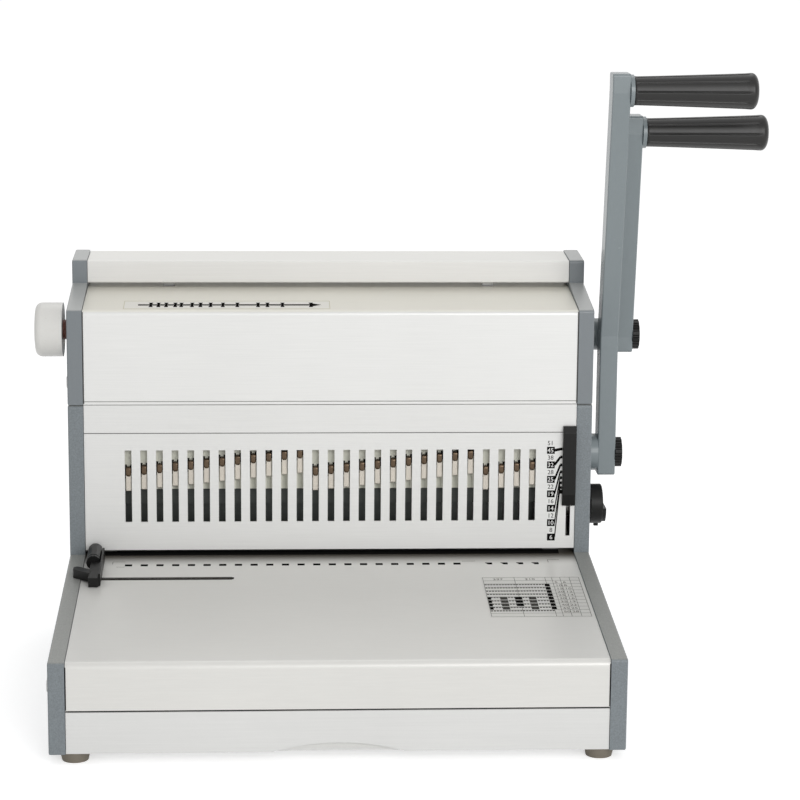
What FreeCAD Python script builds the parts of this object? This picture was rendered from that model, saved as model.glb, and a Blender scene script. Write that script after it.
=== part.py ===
"""Manual comb and wire binding machine, in millimetres.

+X runs to the right, +Y to the back and +Z up. The origin is on the table, at mid width,
under the front face of the slotted panel.
"""
import FreeCAD, Part
import Sketcher
import math
import os

# Driving sizes: name, number, what it is
SIZES = (
    ("overall_width", 480.0, "width over the two side plates"),
    ("plate_thickness", 14.0, "side plates and top cheeks"),
    ("foot_height", 9.0, "rubber feet"),
    ("base_depth", 275.0, "front of the base to the panel's front face"),
    ("rear_depth", 137.0, "panel's front face to the back"),
    ("tray_front_height", 87.0, "top of the tray at its front edge"),
    ("tray_back_height", 105.0, "top of the tray under the panel"),
    ("sheet_thickness", 1.5, "sheet of the covers, the panel and the tray"),
    ("panel_gap", 0.4, "gap between a sheet and the side plates"),
    ("plate_reveal", 1.0, "side plates stand this much proud of the sheets"),
    ("edge_round", 1.5, "rounding of the plates' outer edges"),
    ("corner_round", 3.0, "rounding of the plates' corners"),
    ("throat_height", 5.0, "paper throat between the tray and the panel"),
    ("seam_height", 246.5, "seam between side plates and top cheeks"),
    ("seam_gap", 0.6, "width of that seam"),
    ("fold_height", 333.0, "fold line of the upper cover"),
    ("bed_depth", 85.0, "fold line to the front of the press bar"),
    ("bed_rise", 8.0, "rise of the bed from the fold to the press bar"),
    ("jaw_gap", 4.5, "gap between the bed and the press bar"),
    ("bar_height", 20.5, "front height of the press bar"),
    ("bar_top_rise", 2.0, "rise of the press bar's top to the back"),
    ("bar_round", 1.2, "rounding of the press bar's edges"),
    ("tray_bend", 6.0, "bend of the tray's front edge"),
    ("fold_bend", 4.0, "bend of the upper cover's fold"),
    ("base_sheet", 2.0, "base plate"),
    ("front_setback", 4.0, "base plate behind the drawer's front"),
    ("slide_gap", 0.4, "gap between pieces that slide past each other"),
    ("running_fit", 0.05, "radial clearance of a shaft that turns or a rod that is slid on"),
    ("seat_fit", 0.02, "radial clearance of a seated shaft or screw"),
    ("foot_radius", 13.0, "rubber foot at its top"),
    ("foot_taper", 2.0, "rubber foot narrows by this much to the table"),
    ("foot_side_inset", 7.0, "feet from the side plates' inner faces"),
    ("foot_inset", 15.0, "feet from the front and the back of the base"),
    ("screw_radius", 3.0, "shanks of the frame's screws"),
    ("screw_head_radius", 5.5, "heads of the frame's screws"),
    ("screw_head_height", 2.2, "heads of the frame's screws"),
    ("tie_radius", 6.0, "tie rods between the side plates"),
    ("tie_inset", 22.0, "tie rods from the front and the back"),
    ("tie_low_height", 62.0, "lower tie rods"),
    ("tie_high_drop", 31.5, "upper tie rod below the seam"),
    ("comb_pitch", 14.2875, "pitch of the comb's rings"),
    ("comb_margin", 38.0, "least distance of the outer comb slots from the side plates"),
    ("slot_width", 6.2, "comb slots of the panel"),
    ("slot_lift", 26.5, "comb slots above the panel's lower edge"),
    ("slot_height", 67.5, "height of the comb slots"),
    ("groove_drop", 26.5, "crease line below the seam"),
    ("groove_width", 0.8, "crease line"),
    ("groove_depth", 0.6, "crease line"),
    ("back_plate_depth", 7.5, "comb back plate behind the panel's face"),
    ("back_plate_lift", 1.0, "lower edge of the comb back plate above the lowest hook's end"),
    ("back_plate_height", 66.0, "comb back plate"),
    ("back_slot_width", 3.4, "slots of the comb back plate"),
    ("back_slot_room", 0.8, "room over a hook in its slot"),
    ("hook_depth", 3.2, "front of the comb hooks behind the panel's face"),
    ("hook_thickness", 2.0, "finger of a comb hook"),
    ("hook_width", 4.5, "comb hook"),
    ("hook_height", 22.0, "comb hook"),
    ("hook_lift", 28.5, "lower end of the lowest comb hook above the slots' lower end"),
    ("hook_step", 1.5, "each comb hook above the one before"),
    ("neck_width", 2.4, "neck of a comb hook"),
    ("neck_height", 4.0, "neck of a comb hook"),
    ("carriage_depth", 10.0, "comb carriage behind the panel's face"),
    ("carriage_thickness", 2.5, "plate of the comb carriage"),
    ("carriage_lift", 11.0, "lower edge of the comb carriage above the lowest hook's end"),
    ("carriage_rise", 1.5, "top of the comb carriage above the seam"),
    ("carriage_bridge", 12.0, "height of the bridges that carry the carriage's racks"),
    ("block_width", 16.0, "guide blocks of the comb carriage"),
    ("block_height", 36.0, "guide blocks of the comb carriage"),
    ("slide_side_gap", 14.0, "punch bar and comb carriage to the side plates"),
    ("rod_inset", 10.0, "guide rods from the ends of the punch bar"),
    ("rod_radius", 4.0, "guide rods"),
    ("cross_bar_height", 10.0, "upper and rear cross bars"),
    ("cross_bar_depth", 24.0, "upper cross bar"),
    ("cross_bar_lift", 11.5, "upper cross bar above the seam"),
    ("rear_bar_lift", 23.5, "rear cross bar above the seam"),
    ("rear_bar_depth", 10.0, "rear cross bar"),
    ("die_front", 12.0, "front of the die plate behind the panel's face"),
    ("die_depth", 38.0, "die plate and pin guide plate"),
    ("die_thickness", 6.0, "die plate"),
    ("guide_thickness", 8.0, "pin guide plate"),
    ("die_gap", 4.4, "paper gap between the die and the pin guide"),
    ("spacer_width", 14.0, "die spacers"),
    ("spacer_depth", 14.0, "die spacers"),
    ("punch_line", 26.0, "row of punch pins behind the panel's face"),
    ("pin_width", 8.0, "punch pin along the row"),
    ("pin_depth", 3.0, "punch pin across the row"),
    ("pin_fit", 0.1, "clearance round a punch pin"),
    ("pin_rise", 0.8, "pin tips above the paper gap"),
    ("punch_bar_lift", 31.8, "punch bar at rest above the pin guide"),
    ("punch_bar_height", 22.0, "punch bar"),
    ("punch_bar_depth", 20.0, "punch bar"),
    ("gear_module", 1.5, "module of pinions and racks"),
    ("punch_teeth", 16.0, "teeth of a punch pinion"),
    ("binding_teeth", 24.0, "teeth of a binding pinion"),
    ("gear_width", 12.0, "face width of the pinions"),
    ("rack_width", 10.0, "width of the racks"),
    ("rack_back", 8.0, "pitch line to the back of a rack"),
    ("rack_margin", 8.0, "toothed length of a rack past its travel"),
    ("backlash", 0.15, "each tooth is this much thinner than its half pitch"),
    ("punch_gear_offset", 110.0, "punch pinions from mid width"),
    ("binding_gear_offset", 150.0, "binding pinions from mid width"),
    ("shaft_radius", 7.0, "punch shaft and binding shaft"),
    ("shaft_end", 2.0, "left ends of the shafts inside the plate's outer face"),
    ("bush_radius", 10.5, "shaft bushes"),
    ("flange_radius", 13.0, "flanges of the shaft bushes"),
    ("flange_thickness", 2.0, "flanges of the shaft bushes"),
    ("spring_length", 24.0, "return springs"),
    ("spring_gap", 0.6, "return spring round its shaft"),
    ("spring_wall", 2.0, "return springs"),
    ("punch_shaft_depth", 44.0, "punch shaft behind the panel's face"),
    ("punch_shaft_lift", 19.5, "punch shaft above the punch bar"),
    ("punch_swing", 80.0, "degrees that the punch lever turns"),
    ("binding_shaft_depth", 76.0, "binding shaft behind the panel's face"),
    ("binding_shaft_drop", 35.0, "binding shaft below the cover's fold"),
    ("binding_swing", 75.0, "degrees that the binding lever turns"),
    ("punch_lean", 11.0, "degrees that the punch lever leans forwards above its bend"),
    ("binding_lean", 10.0, "degrees that the binding lever leans forwards"),
    ("lever_depth", 24.0, "lever arms from front to back"),
    ("lever_round", 2.5, "rounding of the lever arms"),
    ("lever_gap", 0.4, "lever boss to the side plate"),
    ("punch_arm_offset", 10.2, "punch lever arm from the side plate"),
    ("arm_width", 16.5, "lever arms from side to side"),
    ("punch_arm_drop", 20.0, "punch lever arm below its shaft"),
    ("punch_crease", 113.5, "bend of the punch lever above its shaft"),
    ("punch_reach", 233.0, "bend of the punch lever to its grip"),
    ("binding_arm_offset", 28.2, "binding lever arm from the side plate"),
    ("binding_arm_drop", 15.5, "binding lever arm below its shaft"),
    ("binding_reach", 197.0, "binding shaft to its grip"),
    ("lever_tip", 16.0, "upright tip of a lever arm above its grip"),
    ("punch_boss_radius", 17.3, "boss of the punch lever"),
    ("binding_boss_radius", 15.0, "boss of the binding lever"),
    ("lug_radius", 14.5, "lug that carries a grip"),
    ("lug_length", 3.5, "lug that carries a grip"),
    ("cap_radius", 14.0, "fluted caps of the levers"),
    ("cap_length", 8.0, "fluted caps of the levers"),
    ("cap_dome", 1.6, "dome of the fluted caps"),
    ("flute_count", 14.0, "flutes of a cap"),
    ("flute_radius", 1.5, "flutes of a cap"),
    ("grip_length", 112.5, "grips"),
    ("grip_inner_radius", 13.4, "grip beside the lever"),
    ("grip_outer_radius", 17.0, "grip at its free end"),
    ("grip_round", 9.0, "rounding of the grip's free end"),
    ("spindle_radius", 5.0, "spindle inside a grip"),
    ("spindle_length", 90.0, "spindle inside a grip"),
    ("slider_inset", 6.5, "comb size slider from the side plate"),
    ("slider_width", 12.0, "comb size slider"),
    ("slider_lift", 41.0, "comb size slider at rest above the panel's lower edge"),
    ("slider_height", 75.0, "comb size slider"),
    ("slider_proud", 6.0, "comb size slider in front of the panel"),
    ("slider_top_bevel", 6.0, "bevel at the slider's top"),
    ("slider_foot_bevel", 11.0, "bevel at the slider's foot"),
    ("slider_slot_width", 4.0, "slot that the slider's stem runs in"),
    ("slider_travel", 38.0, "comb size slider"),
    ("stem_lift", 9.0, "slider's stem above the slider's lower end"),
    ("stem_height", 12.0, "slider's stem"),
    ("keeper_width", 10.0, "plate behind the panel that keeps the slider"),
    ("keeper_thickness", 2.5, "plate behind the panel that keeps the slider"),
    ("gap_knob_depth", 28.0, "wire gap knob behind the panel's face"),
    ("gap_knob_drop", 21.5, "wire gap knob below the cover's fold"),
    ("gap_knob_radius", 24.8, "wire gap knob"),
    ("gap_knob_length", 25.0, "wire gap knob"),
    ("gap_knob_round", 6.0, "rounding of the wire gap knob's outer edge"),
    ("gap_hub_radius", 9.0, "hub of the wire gap knob"),
    ("gap_hub_length", 4.6, "hub of the wire gap knob"),
    ("gap_shaft_radius", 5.0, "shaft of the wire gap knob"),
    ("knob_bush_wall", 3.0, "bushes of the wire gap knob and the margin knob"),
    ("cam_width", 8.0, "cams of the wire gap knob and the margin knob"),
    ("cam_inset", 3.0, "cams from the side plate's inner face"),
    ("gap_cam_radius", 9.0, "least radius of the wire gap cam"),
    ("gap_cam_rise", 5.0, "rise of the wire gap cam over its turn"),
    ("gap_knob_turn", 270.0, "degrees that the wire gap knob turns"),
    ("margin_knob_lift", 36.0, "margin knob above the panel's lower edge"),
    ("margin_knob_radius", 18.5, "margin knob"),
    ("margin_knob_gap", 2.5, "margin knob to the side plate"),
    ("margin_knob_length", 11.0, "margin knob"),
    ("margin_ridge_length", 3.0, "finger ridge of the margin knob"),
    ("margin_ridge_width", 15.0, "finger ridge of the margin knob"),
    ("margin_tab", 2.6, "pointer tab of the margin knob past its rim"),
    ("margin_tab_width", 4.0, "pointer tab of the margin knob"),
    ("margin_shaft_radius", 4.0, "shaft of the margin knob"),
    ("margin_cam_radius", 9.0, "least radius of the margin cam"),
    ("margin_travel", 4.0, "depth stop's travel"),
    ("margin_turn", 180.0, "degrees that the margin knob turns"),
    ("stop_front", 30.0, "front of the depth stop behind the panel's face"),
    ("stop_thickness", 3.6, "depth stop in the paper gap"),
    ("stop_arm_depth", 4.0, "follower arm of the depth stop"),
    ("stop_arm_room", 6.0, "follower arm above the margin shaft"),
    ("slit_inset", 8.0, "left end of the tray's slit from the side plate"),
    ("slit_setback", 65.5, "tray's slit in front of the panel"),
    ("slit_width", 3.0, "tray's slit"),
    ("guide_travel", 118.5, "side guide along the slit"),
    ("guide_block", 9.0, "block of the side guide"),
    ("guide_block_length", 46.0, "block of the side guide"),
    ("guide_fence_height", 12.0, "thin fence of the side guide"),
    ("guide_fence_thickness", 1.6, "thin fence of the side guide"),
    ("guide_fence_length", 72.0, "thin fence of the side guide"),
    ("guide_barrel_radius", 7.0, "barrel grip of the side guide"),
    ("guide_barrel_length", 40.0, "barrel grip of the side guide"),
    ("guide_ear_width", 15.0, "thumb ear of the side guide"),
    ("guide_ear_depth", 12.0, "thumb ear of the side guide"),
    ("guide_ear_height", 8.0, "thumb ear of the side guide"),
    ("guide_foot_width", 8.0, "clamp foot under the tray"),
    ("drawer_top", 45.0, "top of the chip drawer's front"),
    ("drawer_front_thickness", 2.5, "front of the chip drawer"),
    ("drawer_side_gap", 26.0, "box of the chip drawer to the side plates"),
    ("drawer_back", 52.0, "back of the drawer's box behind the panel's face"),
    ("drawer_wall", 1.5, "box of the chip drawer"),
    ("drawer_box_height", 27.0, "box of the chip drawer"),
    ("notch_width", 110.0, "finger notch of the chip drawer"),
    ("notch_height", 8.0, "finger notch of the chip drawer"),
    ("runner_width", 6.0, "drawer runners"),
    ("runner_height", 9.0, "drawer runners"),
)
# The comb hooks climb from these positions in the row and then start again
HOOK_STARTS = (0, 12, 23)

doc = FreeCAD.newDocument("binding_machine")
sheet = doc.addObject("Spreadsheet::Sheet", "Sizes")
for row, (name, number, note) in enumerate(SIZES, start=1):
    sheet.set(f"A{row}", note)
    sheet.set(f"B{row}", str(number))
    sheet.setAlias(f"B{row}", name)
doc.recompute()


class Term:
    """A value worked out from the sheet: its number, and the formula that binds a property to the cells."""

    def __init__(self, number, formula):
        self.number = number
        self.formula = formula

    def joined(self, sign, other, number):
        return Term(number, f"({self.formula} {sign} {other.formula})")

    def __add__(self, other):
        other = term(other)
        return self.joined("+", other, self.number + other.number)

    def __sub__(self, other):
        other = term(other)
        return self.joined("-", other, self.number - other.number)

    def __mul__(self, other):
        other = term(other)
        return self.joined("*", other, self.number * other.number)

    def __truediv__(self, other):
        other = term(other)
        return self.joined("/", other, self.number / other.number)

    def __radd__(self, other):
        return term(other) + self

    def __rsub__(self, other):
        return term(other) - self

    def __rmul__(self, other):
        return term(other) * self

    def __neg__(self):
        return term(0) - self


def term(value):
    """The value itself if it is a term, or a plain number as a term."""
    if isinstance(value, Term):
        return value
    return Term(float(value), f"({float(value)})")


def sine(angle):
    return Term(math.sin(math.radians(angle.number)), f"sin({angle.formula})")


def cosine(angle):
    return Term(math.cos(math.radians(angle.number)), f"cos({angle.formula})")


def tangent(angle):
    return Term(math.tan(math.radians(angle.number)), f"tan({angle.formula})")


class Sizes:
    """The sheet's cells as terms, by name."""


s = Sizes()
for name, number, note in SIZES:
    setattr(s, name, Term(float(sheet.get(name)), f"Sizes.{name}"))

nodes = []


def node(item, name):
    """Names a finished piece after its file."""
    item.Label = name
    nodes.append(item)
    return item


def bind(item, prop, value):
    item.setExpression(prop, term(value).formula)


def move(item, x=None, y=None, z=None):
    """Ties the place of a piece to formulas."""
    for axis, value in (("x", x), ("y", y), ("z", z)):
        if value is not None:
            bind(item, f"Placement.Base.{axis}", value)
    return item


def box(x, y, z):
    """A block between a low and a high limit along each axis."""
    item = doc.addObject("Part::Box", "Block")
    for prop, limits in (("Length", x), ("Width", y), ("Height", z)):
        bind(item, prop, term(limits[1]) - limits[0])
    return move(item, x[0], y[0], z[0])


TURNS = {
    "X": FreeCAD.Rotation(FreeCAD.Vector(0, 1, 0), 90),
    "Y": FreeCAD.Rotation(FreeCAD.Vector(1, 0, 0), -90),
    "Z": FreeCAD.Rotation(),
}


def rod(axis, radius, span, centre):
    """A round bar along an axis, between two limits, with its centre given on the other two axes in order."""
    item = doc.addObject("Part::Cylinder", "Rod")
    item.Placement = FreeCAD.Placement(FreeCAD.Vector(), TURNS[axis])
    bind(item, "Radius", radius)
    bind(item, "Height", term(span[1]) - span[0])
    first, second = centre
    places = {"X": (span[0], first, second), "Y": (first, span[0], second), "Z": (first, second, span[0])}
    return move(item, *places[axis])


def cut(base, *tools):
    """The base with the tools taken away."""
    item = doc.addObject("Part::Cut", "Cut")
    item.Base = base
    item.Tool = group(tools)
    return item


def fuse(*items):
    item = doc.addObject("Part::MultiFuse", "Joined")
    item.Shapes = list(items)
    item.Refine = True
    return item


def group(items):
    """Separate solids kept together."""
    items = list(items)
    if len(items) == 1:
        return items[0]
    item = doc.addObject("Part::Compound", "Group")
    item.Links = items
    return item


def outline(body, plane, corners):
    """A closed sketch on one of the body's own planes, each corner tied to its two formulas."""
    support = [face for face in body.Origin.OriginFeatures if face.Role == plane + "_Plane"][0]
    sketch = body.newObject("Sketcher::SketchObject", "Outline")
    sketch.AttachmentSupport = [(support, "")]
    sketch.MapMode = "FlatFace"
    corners = [(term(across), term(along)) for across, along in corners]
    places = [FreeCAD.Vector(across.number, along.number, 0) for across, along in corners]
    count = len(corners)
    for index in range(count):
        sketch.addGeometry(Part.LineSegment(places[index], places[(index + 1) % count]), False)
    for index in range(count):
        sketch.addConstraint(Sketcher.Constraint("Coincident", index, 2, (index + 1) % count, 1))
    for index, pair in enumerate(corners):
        for direction, value in zip(("DistanceX", "DistanceY"), pair):
            rule = Sketcher.Constraint(direction, -1, 1, index, 1, value.number)
            sketch.setExpression(f"Constraints[{sketch.addConstraint(rule)}]", value.formula)
    return sketch


def padded(plane, corners, low, high):
    """An outline drawn out between two limits: YZ along X, XZ along Y, XY along Z."""
    body = doc.addObject("PartDesign::Body", "Body")
    sketch = outline(body, plane, corners)
    pad = body.newObject("PartDesign::Pad", "Pad")
    pad.Profile = sketch
    pad.Reversed = plane == "XZ"
    bind(pad, "Length", term(high) - low)
    axis = {"YZ": "x", "XZ": "y", "XY": "z"}[plane]
    return move(body, **{axis: low})


def turned(corners, y, z):
    """An outline of place along X and radius, turned round an axis along X."""
    body = doc.addObject("PartDesign::Body", "Body")
    sketch = outline(body, "XY", corners)
    turn = body.newObject("PartDesign::Revolution", "Turn")
    turn.Profile = sketch
    turn.ReferenceAxis = (sketch, ["H_Axis"])
    turn.Angle = 360
    return move(body, y=y, z=z)


def rounded(body, radius, wanted):
    """Rounds the body's edges that pass the given test."""
    doc.recompute()
    base = body.Tip
    names = [f"Edge{number}" for number, edge in enumerate(base.Shape.Edges, start=1) if wanted(edge)]
    fillet = body.newObject("PartDesign::Fillet", "Rounding")
    fillet.Base = (base, names)
    bind(fillet, "Radius", radius)
    return body


NEAR = 1e-4


def runs_along(axis, *spots):
    """Test for straight edges along an axis, at given places on the other two axes, or at all of them."""
    others = [index for index in range(3) if index != "XYZ".index(axis)]

    def test(edge):
        ends = [vertex.Point for vertex in edge.Vertexes]
        if len(ends) < 2 or any(abs(ends[0][index] - ends[1][index]) > NEAR for index in others):
            return False
        if not spots:
            return True
        return any(
            all(abs(ends[0][index] - term(value).number) < NEAR for index, value in zip(others, spot))
            for spot in spots
        )

    return test


def lies_at(axis, value):
    """Test for edges that lie in a plane square to an axis."""
    index = "XYZ".index(axis)
    level = term(value).number

    def test(edge):
        bounds = edge.BoundBox
        low = (bounds.XMin, bounds.YMin, bounds.ZMin)[index]
        high = (bounds.XMax, bounds.YMax, bounds.ZMax)[index]
        return abs(low - level) < NEAR and abs(high - level) < NEAR

    return test


def drawn(points, width, x):
    """A flat face through points of depth and height, drawn out along X and centred on a place there."""
    wire = Part.makePolygon([FreeCAD.Vector(x - width / 2, y, z) for y, z in points + points[:1]])
    return Part.Face(wire).extrude(FreeCAD.Vector(width, 0, 0))


def formed(shapes):
    """A piece whose solids come from a formula."""
    item = doc.addObject("Part::Feature", "Formed")
    item.Shape = shapes[0] if len(shapes) == 1 else Part.makeCompound(shapes)
    return item


# Levels and widths that several pieces share
half_width = s.overall_width / 2
inner = half_width - s.plate_thickness
sheet_side = inner - s.panel_gap
tray_slope = (s.tray_back_height - s.tray_front_height) / s.base_depth
panel_bottom = s.tray_back_height + s.throat_height
panel_top = s.seam_height - s.seam_gap / 2
cover_bottom = s.seam_height + s.seam_gap / 2
bed_height = s.fold_height + s.bed_rise
bar_bottom = bed_height + s.jaw_gap
bar_top = bar_bottom + s.bar_height
rear_inside = s.rear_depth - s.sheet_thickness
floor_top = s.foot_height + s.base_sheet
die_top = s.tray_back_height + s.die_front * tray_slope
die_back = s.die_front + s.die_depth
guide_bottom = die_top + s.die_gap
guide_top = guide_bottom + s.guide_thickness
punch_pitch_radius = s.gear_module * s.punch_teeth / 2
binding_pitch_radius = s.gear_module * s.binding_teeth / 2
punch_travel = punch_pitch_radius * s.punch_swing * (math.pi / 180)
binding_travel = binding_pitch_radius * s.binding_swing * (math.pi / 180)
slide_half_width = inner - s.slide_side_gap
rod_offset = slide_half_width - s.rod_inset
slot_bottom = panel_bottom + s.slot_lift
hook_bottom = slot_bottom + s.hook_lift
back_plate_bottom = hook_bottom + s.back_plate_lift
carriage_bottom = hook_bottom + s.carriage_lift
carriage_top = s.seam_height + s.carriage_rise
cross_bar_bottom = s.seam_height + s.cross_bar_lift
rear_bar_bottom = s.seam_height + s.rear_bar_lift
tie_high_height = s.seam_height - s.tie_high_drop
punch_bar_bottom = guide_top + s.punch_bar_lift
punch_shaft_height = punch_bar_bottom + s.punch_bar_height + s.punch_shaft_lift
binding_shaft_height = s.fold_height - s.binding_shaft_drop
margin_knob_height = panel_bottom + s.margin_knob_lift
slider_bottom = panel_bottom + s.slider_lift
slider_offset = inner - s.slider_inset
slit_left = inner - s.slit_inset
drawer_half_width = inner - s.drawer_side_gap
comb_count = 1 + int(2 * (inner - s.comb_margin).number / s.comb_pitch.number)
comb_places = [s.comb_pitch * (index - (comb_count - 1) / 2) for index in range(comb_count)]
both_sides = (-1, 1)


def spans(x, width):
    """Limits of a width centred on a place."""
    return (x - width / 2, x + width / 2)


# Base plate, rubber feet and their screws
foot_places = [
    (side * (inner - s.foot_side_inset), depth)
    for side in both_sides
    for depth in (s.foot_inset - s.base_depth, s.rear_depth - s.foot_inset)
]
foot_bores = [
    rod("Z", s.screw_radius + s.seat_fit, (0, floor_top * 2), place) for place in foot_places
]
floor = box((-inner, inner), (s.front_setback - s.base_depth, rear_inside), (s.foot_height, floor_top))
node(cut(floor, *foot_bores), "base_plate")

feet = []
for x, y in foot_places:
    foot = doc.addObject("Part::Cone", "Foot")
    bind(foot, "Radius1", s.foot_radius - s.foot_taper)
    bind(foot, "Radius2", s.foot_radius)
    bind(foot, "Height", s.foot_height)
    feet.append(move(foot, x, y, 0))
head_pockets = [
    rod("Z", s.screw_head_radius + s.slide_gap, (0, s.foot_height / 3), place) for place in foot_places
]
node(cut(group(feet), *head_pockets, *foot_bores), "rubber_feet")

foot_screws = []
for place in foot_places:
    shank = rod("Z", s.screw_radius, (s.foot_height / 3, floor_top), place)
    head_bottom = s.foot_height / 3 - s.screw_head_height
    head = rod("Z", s.screw_head_radius, (head_bottom, s.foot_height / 3), place)
    foot_screws.append(fuse(shank, head))
node(group(foot_screws), "foot_screws")

# Side plates and top cheeks, with the bores for the bushes and the screws
tie_places = [
    (s.tie_inset - s.base_depth, s.tie_low_height),
    (s.rear_depth - s.tie_inset, s.tie_low_height),
    (s.rear_depth - s.tie_inset, tie_high_height),
]
press_rack_back = s.binding_shaft_depth + binding_pitch_radius + s.rack_back
rear_bar_front = press_rack_back + s.slide_gap
bar_middle = s.cross_bar_height / 2
cheek_screw_places = [
    (s.punch_line, cross_bar_bottom + bar_middle),
    (rear_bar_front + s.rear_bar_depth / 2, rear_bar_bottom + bar_middle),
]
punch_axis = (s.punch_shaft_depth, punch_shaft_height)
binding_axis = (s.binding_shaft_depth, binding_shaft_height)
gap_axis = (s.gap_knob_depth, s.fold_height - s.gap_knob_drop)
margin_axis = (s.punch_line, margin_knob_height)
gap_bush_radius = s.gap_shaft_radius + s.knob_bush_wall
margin_bush_radius = s.margin_shaft_radius + s.knob_bush_wall

plate_corners = [
    (-s.base_depth - s.plate_reveal, s.foot_height),
    (s.rear_depth, s.foot_height),
    (s.rear_depth, panel_top),
    (-s.plate_reveal, panel_top),
    (-s.plate_reveal, s.tray_back_height + s.plate_reveal),
    (-s.base_depth - s.plate_reveal, s.tray_front_height + s.plate_reveal),
]
cheek_corners = [
    (-s.plate_reveal, cover_bottom),
    (s.rear_depth, cover_bottom),
    (s.rear_depth, bar_top + s.bar_top_rise + s.plate_reveal),
    (s.bed_depth - s.plate_reveal, bar_top + s.plate_reveal),
    (s.bed_depth - s.plate_reveal, bar_bottom),
    (-s.plate_reveal, s.fold_height + s.plate_reveal),
]


def side_wall(corners, round_corners, side, holes):
    """A plate of one side, with its corners and its outer edges rounded, and its holes drilled."""
    low = (-half_width, inner)[side > 0]
    high = (-inner, half_width)[side > 0]
    body = padded("YZ", corners, low, high)
    rounded(body, s.corner_round, runs_along("X", *round_corners))
    outer_face = (0, s.plate_thickness)[side > 0]
    rounded(body, s.edge_round, lies_at("X", outer_face))
    tools = [rod("X", radius + s.seat_fit, (low - 1, high + 1), centre) for radius, centre in holes]
    return cut(body, *tools)


plate_holes = [(s.screw_radius, place) for place in tie_places] + [(s.bush_radius, punch_axis)]
cheek_holes = [(s.screw_radius, place) for place in cheek_screw_places] + [(s.bush_radius, binding_axis)]
plate_rounds = (plate_corners[5], plate_corners[3])
cheek_rounds = (cheek_corners[3], cheek_corners[5])
node(side_wall(plate_corners, plate_rounds, -1, plate_holes), "left_side_plate")
margin_hole = (margin_bush_radius, margin_axis)
node(side_wall(plate_corners, plate_rounds, 1, plate_holes + [margin_hole]), "right_side_plate")
gap_hole = (gap_bush_radius, gap_axis)
node(side_wall(cheek_corners, cheek_rounds, -1, cheek_holes + [gap_hole]), "left_top_cheek")
node(side_wall(cheek_corners, cheek_rounds, 1, cheek_holes), "right_top_cheek")

# Tie rods, and the screws through the plates into the rods and the cross bars
node(group([rod("X", s.tie_radius, (-inner, inner), place) for place in tie_places]), "tie_rods")
tie_screws = []
for side in both_sides:
    for place in tie_places + cheek_screw_places:
        ends = [(inner, half_width), (half_width, half_width + s.screw_head_height)]
        shank_span, head_span = [span if side > 0 else (-span[1], -span[0]) for span in ends]
        shank = rod("X", s.screw_radius, shank_span, place)
        head = rod("X", s.screw_head_radius, head_span, place)
        tie_screws.append(fuse(shank, head))
node(group(tie_screws), "tie_screws")

# Feed tray: one sheet bent down into an apron over the drawer, with a slit for the side guide
apron_bottom = s.drawer_top + s.slide_gap
inner_bend_height = s.tray_front_height - s.sheet_thickness + s.sheet_thickness * tray_slope
tray_corners = [
    (s.die_front, die_top),
    (-s.base_depth, s.tray_front_height),
    (-s.base_depth, apron_bottom),
    (s.sheet_thickness - s.base_depth, apron_bottom),
    (s.sheet_thickness - s.base_depth, inner_bend_height),
    (s.die_front, die_top - s.sheet_thickness),
]
tray = padded("YZ", tray_corners, -sheet_side, sheet_side)
rounded(tray, s.tray_bend, runs_along("X", tray_corners[1]))
rounded(tray, s.tray_bend - s.sheet_thickness, runs_along("X", tray_corners[4]))
slit_middle = -s.slit_setback
slit_right = s.guide_block + s.guide_travel - slit_left
slit = box((-slit_left, slit_right), spans(slit_middle, s.slit_width), (s.drawer_top, panel_bottom))
node(cut(tray, slit), "feed_tray")

# Front panel with the comb slots, the slider's slot and a crease line
panel = box((-sheet_side, sheet_side), (0, s.sheet_thickness), (panel_bottom, panel_top))
slot_span = (slot_bottom, slot_bottom + s.slot_height)
through_panel = (-s.sheet_thickness, s.sheet_thickness * 2)
comb_slots = [box(spans(x, s.slot_width), through_panel, slot_span) for x in comb_places]
stem_bottom = slider_bottom + s.stem_lift
slider_slot = box(
    spans(slider_offset, s.slider_slot_width),
    through_panel,
    (stem_bottom - s.slider_travel - s.slide_gap, stem_bottom + s.stem_height + s.slide_gap),
)
groove = box(
    (-half_width, half_width),
    (-s.groove_depth, s.groove_depth),
    spans(s.seam_height - s.groove_drop, s.groove_width),
)
node(cut(panel, *comb_slots, slider_slot, groove), "front_panel")

# Upper cover: front face, fold, sloping bed and the flat under the press bar, with holes for the press racks
cover_corners = [
    (0, cover_bottom),
    (0, s.fold_height),
    (s.bed_depth, bed_height),
    (rear_inside, bed_height),
    (rear_inside, bed_height - s.sheet_thickness),
    (s.bed_depth, bed_height - s.sheet_thickness),
    (s.sheet_thickness, s.fold_height - s.sheet_thickness + s.sheet_thickness * s.bed_rise / s.bed_depth),
    (s.sheet_thickness, cover_bottom),
]
cover = padded("YZ", cover_corners, -sheet_side, sheet_side)
rounded(cover, s.fold_bend, runs_along("X", cover_corners[1]))
rounded(cover, s.fold_bend - s.sheet_thickness, runs_along("X", cover_corners[6]))
press_pitch_depth = s.binding_shaft_depth + binding_pitch_radius
rack_windows = [
    box(
        spans(side * s.binding_gear_offset, s.rack_width + 2 * s.slide_gap),
        (press_pitch_depth - s.gear_module - s.slide_gap, press_rack_back + s.slide_gap),
        (s.fold_height, bar_bottom),
    )
    for side in both_sides
]
node(cut(cover, *rack_windows), "upper_cover")

# Rear cover and its screws
rear = box((-sheet_side, sheet_side), (rear_inside, s.rear_depth), (s.foot_height, bed_height))
rear_screw_places = [
    (side * (inner - s.tie_inset), height)
    for side in both_sides
    for height in (s.tie_low_height, tie_high_height, bed_height - s.tie_inset)
]
rear_screws = [
    rod("Y", s.screw_head_radius, (s.rear_depth, s.rear_depth + s.screw_head_height), place)
    for place in rear_screw_places
]
node(rear, "rear_cover")
node(group(rear_screws), "rear_cover_screws")

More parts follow.
